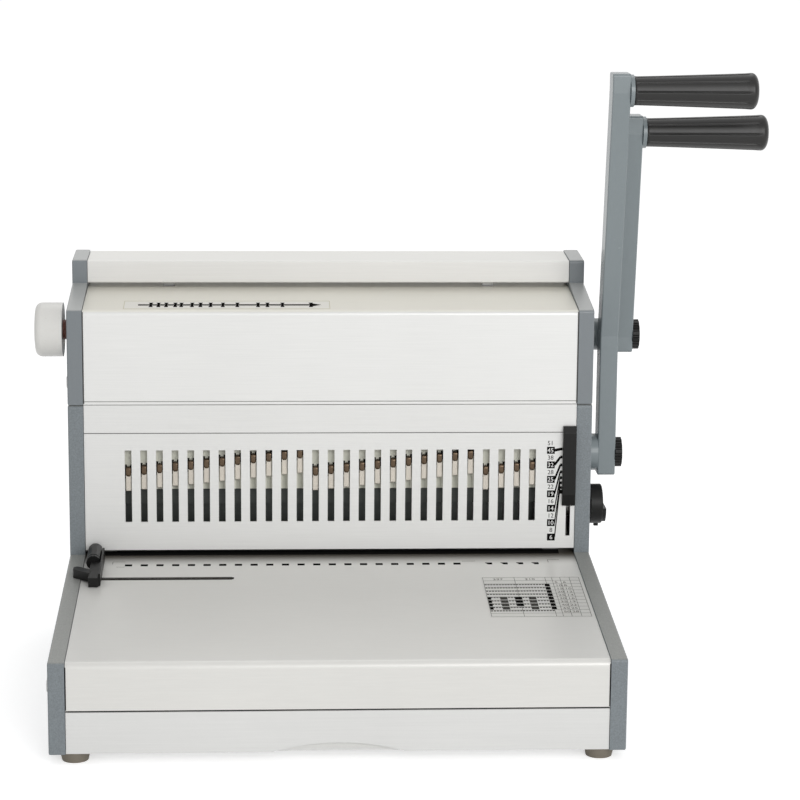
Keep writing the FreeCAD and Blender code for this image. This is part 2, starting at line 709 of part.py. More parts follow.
# Die plate, pin guide plate and the spacers between them
die_holes = [
    box(
        spans(x, s.pin_width + 2 * s.pin_fit),
        spans(s.punch_line, s.pin_depth + 2 * s.pin_fit),
        (die_top - 2 * s.die_thickness, guide_top + s.guide_thickness),
    )
    for x in comb_places
]
die = box((-inner, inner), (s.die_front, die_back), (die_top - s.die_thickness, die_top))
node(cut(die, *die_holes), "die_plate")
guide = box((-slide_half_width, slide_half_width), (s.die_front, die_back), (guide_bottom, guide_top))
node(cut(guide, *die_holes), "pin_guide_plate")
spacer_depths = (s.die_front, s.die_front + s.spacer_depth)
spacer_sides = [
    (-slide_half_width, s.spacer_width - slide_half_width),
    (slide_half_width - s.spacer_width, slide_half_width),
]
node(group([box(side, spacer_depths, (die_top, guide_bottom)) for side in spacer_sides]), "die_spacers")

# Comb back plate: each slot is open at the bottom and ends just over its hook
hook_bottoms = []
for index in range(comb_count):
    start = max(first for first in HOOK_STARTS if first <= index)
    hook_bottoms.append(hook_bottom + s.hook_step * (index - start))
back_plate_span = (s.back_plate_depth, s.back_plate_depth + s.sheet_thickness)
back_plate = box(
    (-inner, inner),
    back_plate_span,
    (back_plate_bottom, back_plate_bottom + s.back_plate_height),
)
through_back = (s.back_plate_depth - 1, s.back_plate_depth + s.sheet_thickness + 1)
back_slots = []
for x, bottom in zip(comb_places, hook_bottoms):
    round_height = bottom + s.hook_height + s.back_slot_room - s.back_slot_width / 2
    slot_span = (back_plate_bottom - s.back_slot_width, round_height)
    back_slots.append(box(spans(x, s.back_slot_width), through_back, slot_span))
    back_slots.append(rod("Y", s.back_slot_width / 2, through_back, (x, round_height)))
node(cut(back_plate, *back_slots), "comb_back_plate")

# Cross bars and the guide rods that the punch bar and the comb carriage slide on
cross_span = (cross_bar_bottom, cross_bar_bottom + s.cross_bar_height)
node(box((-inner, inner), spans(s.punch_line, s.cross_bar_depth), cross_span), "upper_cross_bar")
rear_bar = box(
    (-inner, inner),
    (rear_bar_front, rear_bar_front + s.rear_bar_depth),
    (rear_bar_bottom, rear_bar_bottom + s.cross_bar_height),
)
node(rear_bar, "rear_cross_bar")
rod_places = [(side * rod_offset, s.punch_line) for side in both_sides]
rod_span = (guide_top, cross_bar_bottom)
node(group([rod("Z", s.rod_radius, rod_span, place) for place in rod_places]), "guide_rods")


# Bushes of the shafts and of the two knobs, and the return springs round the shafts
def bush(side, outer, bore, centre, flange):
    """A sleeve in a side wall, with a flange against the wall's inner face."""
    sleeve_span = (inner, half_width)
    flange_span = (inner - s.flange_thickness, inner)
    bore_span = (inner - 2 * s.flange_thickness, half_width + 1)
    if side < 0:
        sleeve_span, flange_span, bore_span = [
            (-high, -low) for low, high in (sleeve_span, flange_span, bore_span)
        ]
    solid = fuse(rod("X", outer, sleeve_span, centre), rod("X", flange, flange_span, centre))
    return cut(solid, rod("X", bore, bore_span, centre))


shaft_bore = s.shaft_radius + s.running_fit
for name, axis in (("punch_bushes", punch_axis), ("binding_bushes", binding_axis)):
    sleeves = [bush(side, s.bush_radius, shaft_bore, axis, s.flange_radius) for side in both_sides]
    node(group(sleeves), name)
gap_bush = bush(-1, gap_bush_radius, s.gap_shaft_radius + s.running_fit, gap_axis, gap_bush_radius + 1)
margin_bore = s.margin_shaft_radius + s.running_fit
margin_bush = bush(1, margin_bush_radius, margin_bore, margin_axis, margin_bush_radius + 1)
node(group([gap_bush, margin_bush]), "knob_bushes")
spring_end = inner - s.flange_thickness
for name, axis in (("punch_return_spring", punch_axis), ("binding_return_spring", binding_axis)):
    coil_span = (spring_end - s.spring_length, spring_end)
    coil = rod("X", s.shaft_radius + s.spring_gap + s.spring_wall, coil_span, axis)
    hollow_span = (spring_end - 2 * s.spring_length, spring_end + 1)
    node(cut(coil, rod("X", s.shaft_radius + s.spring_gap, hollow_span, axis)), name)


# Pinions and racks of one module, with a pressure angle of 20 degrees
ADDENDUM = 0.85
DEDENDUM = 1.25
PRESSURE_ANGLE = math.radians(20)
FLANK_STEPS = 5
module = s.gear_module.number
backlash = s.backlash.number
pitch = math.pi * module


def pinion(teeth, axis, x):
    """A spur pinion with involute flanks, whose tooth spaces face straight to the front and the back."""
    pitch_radius = module * teeth / 2
    base_radius = pitch_radius * math.cos(PRESSURE_ANGLE)
    root_radius = pitch_radius - DEDENDUM * module
    tip_radius = pitch_radius + ADDENDUM * module
    roll_at_pitch = math.tan(PRESSURE_ANGLE) - PRESSURE_ANGLE
    half_tooth = (pitch / 2 - backlash) / 2 / pitch_radius
    start_radius = max(base_radius, root_radius)
    flank = [(root_radius, half_tooth + roll_at_pitch)]
    for step in range(FLANK_STEPS + 1):
        radius = start_radius + (tip_radius - start_radius) * step / FLANK_STEPS
        pressure = math.acos(min(1.0, base_radius / radius))
        flank.append((radius, half_tooth + roll_at_pitch - math.tan(pressure) + pressure))
    points = []
    for tooth in range(teeth):
        middle = (tooth + 0.5) * 2 * math.pi / teeth
        sides = [(radius, middle - angle) for radius, angle in flank]
        sides += [(radius, middle + angle) for radius, angle in reversed(flank)]
        for radius, angle in sides:
            points.append((axis[0] + radius * math.cos(angle), axis[1] + radius * math.sin(angle)))
    blank = drawn(points, s.gear_width.number, x)
    bore_radius = s.shaft_radius.number + s.seat_fit.number
    corner = FreeCAD.Vector(x - s.gear_width.number, axis[0], axis[1])
    bore = Part.makeCylinder(bore_radius, s.gear_width.number * 2, corner, FreeCAD.Vector(1, 0, 0))
    return blank.cut(bore)


def toothed_edge(pitch_depth, facing, low, high, mesh_height):
    """Points up a rack's toothed side: straight flanks, with one tooth at the height of the pinion's axis."""
    tip = pitch_depth + facing * ADDENDUM * module
    root = pitch_depth - facing * DEDENDUM * module
    half_pitch_tooth = (pitch / 2 - backlash) / 2
    half_tip = half_pitch_tooth - ADDENDUM * module * math.tan(PRESSURE_ANGLE)
    half_root = half_pitch_tooth + DEDENDUM * module * math.tan(PRESSURE_ANGLE)
    first = math.ceil((low + half_root - mesh_height) / pitch)
    last = math.floor((high - half_root - mesh_height) / pitch)
    points = [(root, low)]
    for tooth in range(first, last + 1):
        middle = mesh_height + tooth * pitch
        points += [(root, middle - half_root), (tip, middle - half_tip)]
        points += [(tip, middle + half_tip), (root, middle + half_root)]
    points.append((root, high))
    return points


def axis_numbers(axis):
    return (axis[0].number, axis[1].number)


def both(offset, make):
    """A piece and its twin, at the same offset on both sides of mid width."""
    return formed([make(side * offset.number) for side in both_sides])


punch_teeth = int(s.punch_teeth.number)
binding_teeth = int(s.binding_teeth.number)
punch_pinions = both(s.punch_gear_offset, lambda x: pinion(punch_teeth, axis_numbers(punch_axis), x))
node(punch_pinions, "punch_pinions")
binding_pinions = both(s.binding_gear_offset, lambda x: pinion(binding_teeth, axis_numbers(binding_axis), x))
node(binding_pinions, "binding_pinions")

# Punch bar with its row of pins and its two racks
punch_bar_span = (punch_bar_bottom, punch_bar_bottom + s.punch_bar_height)
punch_bar = box(
    (-slide_half_width, slide_half_width),
    spans(s.punch_line, s.punch_bar_depth),
    punch_bar_span,
)
rod_bores = [rod("Z", s.rod_radius + s.running_fit, rod_span, place) for place in rod_places]
node(cut(punch_bar, *rod_bores), "punch_bar")
pin_span = (guide_bottom + s.pin_rise, punch_bar_bottom)
pins = [box(spans(x, s.pin_width), spans(s.punch_line, s.pin_depth), pin_span) for x in comb_places]
node(group(pins), "punch_pins")

rack_width = s.rack_width.number
rack_back = s.rack_back.number
punch_rack_pitch = (s.punch_shaft_depth - punch_pitch_radius).number
punch_rack_foot = punch_bar_span[1].number
punch_rack_top = (punch_shaft_height + punch_travel + s.rack_margin).number
punch_edge = toothed_edge(punch_rack_pitch, 1, punch_rack_foot, punch_rack_top, punch_shaft_height.number)
punch_rack_front = punch_rack_pitch - rack_back
punch_rack = punch_edge + [(punch_rack_front, punch_rack_top), (punch_rack_front, punch_rack_foot)]
node(both(s.punch_gear_offset, lambda x: drawn(punch_rack, rack_width, x)), "punch_racks")

# Comb carriage: plate, hooks, guide blocks and two racks that stand on bridges
carriage_back = s.carriage_depth + s.carriage_thickness
carriage = box(
    (-slide_half_width, slide_half_width),
    (s.carriage_depth, carriage_back),
    (carriage_bottom, carriage_top),
)
node(carriage, "carriage_plate")
hooks = []
for x, bottom in zip(comb_places, hook_bottoms):
    top = bottom + s.hook_height
    finger_back = s.hook_depth + s.hook_thickness
    finger = padded(
        "YZ",
        [(s.hook_depth, bottom), (finger_back, bottom), (finger_back, top), (s.hook_depth, top)],
        x - s.hook_width / 2,
        x + s.hook_width / 2,
    )
    rounded(finger, s.hook_thickness * 0.45, runs_along("X", (s.hook_depth, bottom), (s.hook_depth, top)))
    neck = box(spans(x, s.neck_width), (finger_back, s.carriage_depth), (top - s.neck_height, top))
    hooks.append(fuse(finger, neck))
node(group(hooks), "comb_hooks")
block_bottom = carriage_top - s.carriage_bridge - s.block_height
blocks = [
    box(
        spans(x, s.block_width),
        (carriage_back, y + s.block_width / 2),
        (block_bottom, block_bottom + s.block_height),
    )
    for x, y in rod_places
]
node(cut(group(blocks), *rod_bores), "carriage_blocks")

carriage_pitch = (s.binding_shaft_depth - binding_pitch_radius).number
bridge_bottom = (carriage_top - s.carriage_bridge).number
bridge_top = carriage_top.number
carriage_rack_top = (binding_shaft_height + binding_travel + s.rack_margin).number
carriage_rack_low = (binding_shaft_height - s.rack_margin).number
mesh_height = binding_shaft_height.number
carriage_edge = toothed_edge(carriage_pitch, 1, carriage_rack_low, carriage_rack_top, mesh_height)
leg_back = carriage_edge[0][0]
leg_front = carriage_pitch - rack_back
carriage_rack = [(carriage_back.number, bridge_bottom), (leg_back, bridge_bottom)]
carriage_rack += carriage_edge
carriage_rack += [(leg_front, carriage_rack_top), (leg_front, bridge_top), (carriage_back.number, bridge_top)]
node(both(s.binding_gear_offset, lambda x: drawn(carriage_rack, rack_width, x)), "carriage_racks")

# Press bar over the bed, on two racks behind the binding pinions
bar_corners = [
    (s.bed_depth, bar_bottom),
    (s.rear_depth, bar_bottom),
    (s.rear_depth, bar_top + s.bar_top_rise),
    (s.bed_depth, bar_top),
]
press_bar = padded("YZ", bar_corners, -sheet_side, sheet_side)
rounded(press_bar, s.bar_round, runs_along("X"))
node(press_bar, "press_bar")
press_pitch = press_pitch_depth.number
press_low = (binding_shaft_height - binding_travel - s.rack_margin).number
press_edge_top = (binding_shaft_height + s.rack_margin).number
press_edge = toothed_edge(press_pitch, -1, press_low, press_edge_top, mesh_height)
press_rack_rear = press_pitch + rack_back
press_rack = press_edge + [
    (press_edge[-1][0], bar_bottom.number),
    (press_rack_rear, bar_bottom.number),
    (press_rack_rear, press_low),
]
node(both(s.binding_gear_offset, lambda x: drawn(press_rack, rack_width, x)), "press_racks")


# Levers: shaft, arm with boss and lug, fluted cap, grip and the grip's spindle
def lever(name, axis, drop, crease, lean, reach, offset, boss_radius):
    """One hand lever: upright to the crease, then leaning forwards, with an upright tip beside the grip."""
    y, z = axis
    width = s.arm_width
    left = half_width + offset
    right = left + width
    half_depth = s.lever_depth / 2
    miter = half_depth * tangent(lean / 2)
    grip_axis = (y - reach * sine(lean), z + crease + reach * cosine(lean))
    grip_y, grip_z = grip_axis
    tip_top = grip_z + s.lever_tip
    corners = [
        (y - half_depth, z - drop),
        (y + half_depth, z - drop),
        (y + half_depth, z + crease + miter),
        (grip_y + half_depth, grip_z + miter),
        (grip_y + half_depth, tip_top),
        (grip_y - half_depth, tip_top),
        (grip_y - half_depth, grip_z - miter),
        (y - half_depth, z + crease - miter),
    ]
    arm = padded("YZ", corners, left, right)
    rounded(arm, s.lever_round, lambda edge: not lies_at("X", 0)(edge) and not lies_at("X", width)(edge))
    rounded(arm, s.lever_round / 2, lambda edge: lies_at("X", 0)(edge) or lies_at("X", width)(edge))
    lug_end = right + s.lug_length
    lug = rod("X", s.lug_radius, (right, lug_end), grip_axis)
    arm_bore = rod("X", s.shaft_radius + s.seat_fit, (half_width, right + 1), axis)
    boss = rod("X", boss_radius, (half_width + s.lever_gap, left), axis)
    boss_bore = rod("X", s.shaft_radius + s.seat_fit, (half_width, right + 1), axis)
    node(group([cut(arm, arm_bore), cut(boss, boss_bore), lug]), name + "_lever_arm")

    node(rod("X", s.shaft_radius, (s.shaft_end - half_width, right), axis), name + "_shaft")

    cap_end = right + s.cap_length
    cap_corners = [
        (right, 0),
        (cap_end, 0),
        (cap_end - s.cap_dome, s.cap_radius),
        (right, s.cap_radius),
    ]
    cap = turned(cap_corners, y, z)
    flutes = []
    for index in range(int(s.flute_count.number)):
        turn = term(360 * index) / s.flute_count
        place = (y + s.cap_radius * cosine(turn), z + s.cap_radius * sine(turn))
        flutes.append(rod("X", s.flute_radius, (right - 1, cap_end + 1), place))
    node(cut(cap, *flutes), name + "_lever_cap")

    grip_end = lug_end + s.grip_length
    grip_corners = [
        (lug_end, 0),
        (grip_end, 0),
        (grip_end, s.grip_outer_radius),
        (lug_end, s.grip_inner_radius),
    ]
    grip = turned(grip_corners, *grip_axis)
    rounded(grip, s.grip_round, lies_at("X", grip_end))
    spindle_span = (lug_end, lug_end + s.spindle_length)
    hollow = rod("X", s.spindle_radius + s.seat_fit, (lug_end - 1, spindle_span[1] + 1), grip_axis)
    node(cut(grip, hollow), name + "_grip")
    node(rod("X", s.spindle_radius, spindle_span, grip_axis), name + "_grip_spindle")


lever(
    "punch",
    punch_axis,
    s.punch_arm_drop,
    s.punch_crease,
    s.punch_lean,
    s.punch_reach,
    s.punch_arm_offset,
    s.punch_boss_radius,
)

lever(
    "binding",
    binding_axis,
    s.binding_arm_drop,
    term(0),
    s.binding_lean,
    s.binding_reach,
    s.binding_arm_offset,
    s.binding_boss_radius,
)

# Comb size slider: finger piece in front of the panel, stem through the slot and keeper behind
slider_top = slider_bottom + s.slider_height
slider_front = -s.slide_gap - s.slider_proud
slider_corners = [
    (-s.slide_gap, slider_bottom),
    (-s.slide_gap, slider_top),
    (slider_front + s.slider_proud / 2, slider_top),
    (slider_front, slider_top - s.slider_top_bevel),
    (slider_front, slider_bottom + s.slider_foot_bevel),
    (slider_front + s.slider_proud / 2, slider_bottom),
]
slider_sides = spans(slider_offset, s.slider_width)
slider = padded("YZ", slider_corners, *slider_sides)
rounded(slider, s.edge_round / 2, lambda edge: not lies_at("Y", -s.slide_gap)(edge))
node(slider, "size_slider")
stem_top = stem_bottom + s.stem_height
keeper_front = s.sheet_thickness + s.slide_gap
stem = box(
    spans(slider_offset, s.slider_slot_width - 2 * s.slide_gap),
    (-s.slide_gap, keeper_front),
    (stem_bottom, stem_top),
)
keeper = box(
    spans(slider_offset, s.keeper_width),
    (keeper_front, keeper_front + s.keeper_thickness),
    (stem_bottom, stem_top),
)
node(fuse(stem, keeper), "slider_stem")


# Wire gap knob on the left cheek, with its hub and its cam shaft
CAM_STEPS = 48


def spiral_cam(axis, least, rise, turn, low, high):
    """A cam whose radius grows evenly with the turn, and falls back over the rest of the circle."""
    points = []
    for step in range(CAM_STEPS):
        angle = 2 * math.pi * step / CAM_STEPS
        share = angle / turn if angle <= turn else (2 * math.pi - angle) / (2 * math.pi - turn)
        radius = least + rise * share
        points.append((axis[0] + radius * math.cos(-angle), axis[1] + radius * math.sin(-angle)))
    return formed([drawn(points, high - low, (low + high) / 2)])


knob_inner_face = -half_width - s.gap_hub_length
knob_outer_face = knob_inner_face - s.gap_knob_length
knob_corners = [
    (knob_outer_face, 0),
    (knob_inner_face, 0),
    (knob_inner_face, s.gap_knob_radius),
    (knob_outer_face, s.gap_knob_radius),
]
gap_knob = turned(knob_corners, *gap_axis)
rounded(gap_knob, s.gap_knob_round, lies_at("X", knob_outer_face))
knob_seat = knob_inner_face - s.gap_knob_length / 2
gap_seat = rod("X", s.gap_shaft_radius + s.seat_fit, (knob_seat, inner), gap_axis)
node(cut(gap_knob, gap_seat), "wire_gap_knob")
gap_hub = rod("X", s.gap_hub_radius, (knob_inner_face, -half_width - s.slide_gap), gap_axis)
node(cut(gap_hub, gap_seat), "wire_gap_hub")
cam_low = s.cam_inset - inner
gap_shaft = rod("X", s.gap_shaft_radius, (knob_seat, cam_low + s.cam_width), gap_axis)
gap_cam = spiral_cam(
    axis_numbers(gap_axis),
    s.gap_cam_radius.number,
    s.gap_cam_rise.number,
    math.radians(s.gap_knob_turn.number),
    cam_low.number,
    (cam_low + s.cam_width).number,
)
node(fuse(gap_shaft, gap_cam), "wire_gap_shaft")

# Margin knob on the right side plate, with its cam shaft, and the depth stop that the cam pushes back
margin_face = half_width + s.margin_knob_gap
margin_end = margin_face + s.margin_knob_length
margin_corners = [
    (margin_face, 0),
    (margin_end, 0),
    (margin_end, s.margin_knob_radius),
    (margin_face, s.margin_knob_radius),
]
margin_disc = turned(margin_corners, *margin_axis)
rounded(margin_disc, s.edge_round, lies_at("X", margin_end))
ridge_length = s.margin_knob_radius * 0.9
ridge = box(
    (margin_end - 1, margin_end + s.margin_ridge_length),
    (s.punch_line - ridge_length, s.punch_line + ridge_length),
    (margin_knob_height - s.margin_ridge_width, margin_knob_height - 1),
)
ridge_span = (margin_face, margin_end + 2 * s.margin_ridge_length)
ridge_room = rod("X", s.margin_knob_radius - 1, ridge_span, margin_axis)
ridge_core = doc.addObject("Part::Common", "Ridge")
ridge_core.Base = ridge
ridge_core.Tool = ridge_room
rim_bottom = margin_knob_height - s.margin_knob_radius
tab = box(
    spans(margin_face + s.margin_tab_width * 1.6, s.margin_tab_width),
    spans(s.punch_line, s.margin_tab_width),
    (rim_bottom - s.margin_tab, rim_bottom + s.margin_knob_radius / 2),
)
margin_seat_end = margin_face + s.margin_knob_length / 2
margin_seat = rod("X", s.margin_shaft_radius + s.seat_fit, (half_width, margin_seat_end), margin_axis)
node(cut(fuse(margin_disc, ridge_core, tab), margin_seat), "margin_knob")
margin_cam_high = inner - s.cam_inset
margin_cam_low = margin_cam_high - s.cam_width
margin_shaft = rod("X", s.margin_shaft_radius, (margin_cam_low, margin_seat_end), margin_axis)
margin_cam = spiral_cam(
    axis_numbers(margin_axis),
    s.margin_cam_radius.number,
    s.margin_travel.number,
    math.radians(s.margin_turn.number),
    margin_cam_low.number,
    margin_cam_high.number,
)
node(fuse(margin_shaft, margin_cam), "margin_shaft")
stop_bottom = die_top + (s.die_gap - s.stop_thickness) / 2
follower_front = s.punch_line + s.margin_cam_radius + s.slide_gap
follower_back = follower_front + s.stop_arm_depth
stop_bar = box(
    (-slide_half_width, margin_cam_high),
    (s.stop_front, follower_back),
    (stop_bottom, stop_bottom + s.stop_thickness),
)
stop_arm = box(
    (margin_cam_low, margin_cam_high),
    (follower_front, follower_back),
    (stop_bottom, margin_knob_height + s.stop_arm_room),
)
node(fuse(stop_bar, stop_arm), "depth_stop_bar")

# Side guide: block and fence on the tray's slope, clamp foot under it, thumb ear and barrel grip
lift = s.slide_gap


def tilted(item):
    """Lays a piece on the sloping tray, with its own zero over the middle of the slit."""
    slope = Term(math.degrees(math.atan(tray_slope.number)), f"atan({tray_slope.formula})")
    laid = doc.addObject("Part::Compound", "Laid")
    laid.Links = [item]
    turn = FreeCAD.Rotation(FreeCAD.Vector(1, 0, 0), slope.number)
    laid.Placement = FreeCAD.Placement(FreeCAD.Vector(), turn)
    bind(laid, "Placement.Rotation.Angle", slope)
    return move(laid, -slit_left, slit_middle, s.tray_back_height + slit_middle * tray_slope)


block_front = -s.guide_block_length / 2
block_back = s.guide_block_length / 2
guide_core = padded(
    "YZ",
    [
        (block_front, lift),
        (block_back, lift),
        (block_back, s.guide_block),
        (block_front, s.guide_block),
    ],
    0,
    s.guide_block,
)
rounded(guide_core, s.edge_round / 2, lambda edge: not lies_at("Z", lift)(edge))
fence_front = block_front + s.guide_fence_thickness * 2
fence = box(
    (s.guide_block, s.guide_block + s.guide_fence_thickness),
    (fence_front, fence_front + s.guide_fence_length),
    (lift, s.guide_fence_height),
)
ear_bottom = lift + s.plate_reveal
ear = padded(
    "XY",
    [
        (-s.guide_ear_width, 0),
        (1, -s.guide_ear_depth),
        (1, 0),
        (-s.guide_ear_width, s.guide_ear_depth),
    ],
    ear_bottom,
    ear_bottom + s.guide_ear_height,
)
ear_ends = [(-s.guide_ear_width, 0), (-s.guide_ear_width, s.guide_ear_depth)]
rounded(ear, s.guide_ear_depth * 0.3, runs_along("Z", *ear_ends))
rounded(ear, s.edge_round / 2, lies_at("Z", s.guide_ear_height))
neck_through = box(
    spans(s.guide_block / 2, s.guide_block - 2),
    spans(0, s.slit_width - 2 * s.slide_gap),
    (-s.sheet_thickness - s.slide_gap, lift + 1),
)
clamp_foot = box(
    spans(s.guide_block / 2, s.guide_block),
    spans(0, s.guide_foot_width),
    (-s.sheet_thickness - s.slide_gap - s.guide_fence_thickness, -s.sheet_thickness - s.slide_gap),
)
node(tilted(fuse(guide_core, fence, ear, neck_through, clamp_foot)), "side_guide_body")
barrel_radius = s.guide_barrel_radius
barrel_height = barrel_radius + lift
barrel_span = (block_back, block_back + s.guide_barrel_length)
barrel = rod("Y", barrel_radius, barrel_span, (s.guide_block - barrel_radius, barrel_height))
node(tilted(barrel), "side_guide_grip")

# Chip drawer: front with an arched finger notch, open box behind it, and the runners beside the box
drawer_bottom = s.foot_height + s.slide_gap
front_span = (-s.base_depth, s.drawer_front_thickness - s.base_depth)
drawer_front = box((-sheet_side, sheet_side), front_span, (drawer_bottom, s.drawer_top))
notch_radius = (s.notch_width * s.notch_width / 4 + s.notch_height * s.notch_height) / (2 * s.notch_height)
notch_centre = drawer_bottom + s.notch_height - notch_radius
notch_depths = (-s.base_depth - 1, s.drawer_front_thickness - s.base_depth + 1)
notch = rod("Y", notch_radius, notch_depths, (term(0), notch_centre))
node(cut(drawer_front, notch), "drawer_front")
box_bottom = floor_top + s.slide_gap
box_front = front_span[1]
box_shell = box(
    (-drawer_half_width, drawer_half_width),
    (box_front, s.drawer_back),
    (box_bottom, box_bottom + s.drawer_box_height),
)
box_hollow = box(
    (s.drawer_wall - drawer_half_width, drawer_half_width - s.drawer_wall),
    (box_front + s.drawer_wall, s.drawer_back - s.drawer_wall),
    (box_bottom + s.drawer_wall, box_bottom + s.drawer_box_height + 1),
)
node(cut(box_shell, box_hollow), "drawer_box")
runner_near = drawer_half_width + s.slide_gap
runner_sides = [
    (-runner_near - s.runner_width, -runner_near),
    (runner_near, runner_near + s.runner_width),
]
runner_depths = (s.tie_inset - s.base_depth, s.drawer_back)
runners = [box(side, runner_depths, (floor_top, floor_top + s.runner_height)) for side in runner_sides]
node(group(runners), "drawer_runners")

doc.recompute()
for item in doc.Objects:
    if "Invalid" in item.State or "Error" in item.State:
        raise RuntimeError(f"{item.Name} ({item.Label}) did not build")
os.makedirs("parts", exist_ok=True)
for item in nodes:
    if item.Shape.isNull() or not item.Shape.isValid() or not item.Shape.Solids:
        raise RuntimeError(f"{item.Label} has no sound shape")
    item.Shape.exportStep(f"parts/{item.Label}.step")
print(len(nodes), "sub-parts written")
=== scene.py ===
import math

import bmesh
import bpy
import numpy as np
from mathutils import Matrix, Vector


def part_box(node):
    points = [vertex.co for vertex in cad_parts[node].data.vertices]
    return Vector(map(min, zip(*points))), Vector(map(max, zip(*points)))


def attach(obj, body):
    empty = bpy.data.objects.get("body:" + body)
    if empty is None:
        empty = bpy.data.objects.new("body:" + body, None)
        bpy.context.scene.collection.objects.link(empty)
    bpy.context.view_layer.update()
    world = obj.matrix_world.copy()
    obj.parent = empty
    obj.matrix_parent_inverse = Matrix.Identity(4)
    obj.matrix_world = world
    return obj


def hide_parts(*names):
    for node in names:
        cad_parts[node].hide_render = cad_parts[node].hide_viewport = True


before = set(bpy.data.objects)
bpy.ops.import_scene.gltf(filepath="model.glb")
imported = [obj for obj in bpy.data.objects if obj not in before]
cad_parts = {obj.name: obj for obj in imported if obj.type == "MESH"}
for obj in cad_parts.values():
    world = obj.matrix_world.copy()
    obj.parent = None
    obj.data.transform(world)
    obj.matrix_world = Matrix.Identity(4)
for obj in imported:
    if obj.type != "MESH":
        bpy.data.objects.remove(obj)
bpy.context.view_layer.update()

# Base plate, side plates and top cheeks: the carcass of the machine. The two thick side castings stand on the
# plated base sheet and carry the cheeks. The castings are sprayed with a grainy blue-grey paint, the cheeks
# with a finer, glossier coat of it. Faces that look up are painted paler, as painted light and painted reflection.


def tint(red, green, blue, gain=1.0):
    """Linear colour of a display colour given in 0 to 255, times a gain."""
    shown = np.array([red, green, blue]) / 255.0
    linear = np.where(shown <= 0.04045, shown / 12.92, ((shown + 0.055) / 1.055) ** 2.4)
    return (*np.clip(linear * gain, 0, 1).tolist(), 1.0)


def finish(name, shown, roughness, grain, mottle=0.05, relief=0.00002, run=(1, 1, 1), metallic=0.0,
           specular=0.5, swing=0.06):
    """A surface finish: fine noise drives the tint, the gloss and a small relief, and a broad cloud shades it.

    run stretches the fine noise along the object's axes, so that a small number draws lines along that axis.
    """
    material = bpy.data.materials.new(name)
    material.use_nodes = True
    nodes = material.node_tree.nodes
    link = material.node_tree.links.new
    shader = nodes["Principled BSDF"]
    shader.inputs["Metallic"].default_value = metallic
    shader.inputs["Specular IOR Level"].default_value = specular
    place = nodes.new("ShaderNodeTexCoord")
    along = nodes.new("ShaderNodeMapping")
    along.inputs["Scale"].default_value = run
    link(place.outputs["Object"], along.inputs["Vector"])
    fine = nodes.new("ShaderNodeTexNoise")
    fine.inputs["Scale"].default_value = grain
    fine.inputs["Detail"].default_value = 3.0
    link(along.outputs["Vector"], fine.inputs["Vector"])
    cloud = nodes.new("ShaderNodeTexNoise")
    cloud.inputs["Scale"].default_value = 7.0
    cloud.inputs["Detail"].default_value = 2.0
    link(place.outputs["Object"], cloud.inputs["Vector"])
    grains = nodes.new("ShaderNodeMix")
    grains.data_type = "RGBA"
    grains.inputs["A"].default_value = tint(*shown, gain=1 - mottle)
    grains.inputs["B"].default_value = tint(*shown, gain=1 + mottle)
    link(fine.outputs["Fac"], grains.inputs["Factor"])
    shade = nodes.new("ShaderNodeMix")
    shade.data_type = "RGBA"
    shade.blend_type = "MULTIPLY"
    shade.inputs["B"].default_value = (0.93, 0.93, 0.93, 1.0)
    link(cloud.outputs["Fac"], shade.inputs["Factor"])
    link(grains.outputs["Result"], shade.inputs["A"])
    link(shade.outputs["Result"], shader.inputs["Base Color"])
    gloss = nodes.new("ShaderNodeMapRange")
    gloss.inputs["To Min"].default_value = roughness - swing
    gloss.inputs["To Max"].default_value = roughness + swing
    link(fine.outputs["Fac"], gloss.inputs["Value"])
    link(gloss.outputs["Result"], shader.inputs["Roughness"])
    bump = nodes.new("ShaderNodeBump")
    bump.inputs["Strength"].default_value = 0.6
    bump.inputs["Distance"].default_value = relief
    link(fine.outputs["Fac"], bump.inputs["Height"])
    link(bump.outputs["Normal"], shader.inputs["Normal"])
    return material


def toned_where(material, reading, axis, start, end, gain, share=1.0, ease="LINEAR"):
    """Multiplies a finish's colour by a gain, with a share that rises from 0 to the given one while what is read
    along an axis of the object, its place or its normal, goes from start to end."""
    nodes = material.node_tree.nodes
    link = material.node_tree.links.new
    colour = nodes["Principled BSDF"].inputs["Base Color"]
    place = nodes.new("ShaderNodeTexCoord")
    axes = nodes.new("ShaderNodeSeparateXYZ")
    rise = nodes.new("ShaderNodeMapRange")
    rise.interpolation_type = ease
    rise.inputs["From Min"].default_value = start
    rise.inputs["From Max"].default_value = end
    rise.inputs["To Max"].default_value = share
    tone = nodes.new("ShaderNodeMix")
    tone.data_type = "RGBA"
    tone.blend_type = "MULTIPLY"
    tone.inputs["B"].default_value = (*gain, 1.0)
    link(place.outputs[reading], axes.inputs["Vector"])
    link(axes.outputs[axis], rise.inputs["Value"])
    link(rise.outputs["Result"], tone.inputs["Factor"])
    link(colour.links[0].from_socket, tone.inputs["A"])
    link(tone.outputs["Result"], colour)


def upward_tone(material, plain, upper):
    """Painted light and shade on faces that look up: turns a finish's plain tone into an upper one there,
    by their ratio, so the grain stays.
    """
    gain = np.array(tint(*upper)) / np.array(tint(*plain))
    toned_where(material, "Normal", "Z", start=0.55, end=0.95, gain=gain[:3].tolist(), share=0.9)


def dress(material, *names):
    """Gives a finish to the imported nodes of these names."""
    for name in names:
        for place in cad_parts[name].material_slots:
            place.material = material


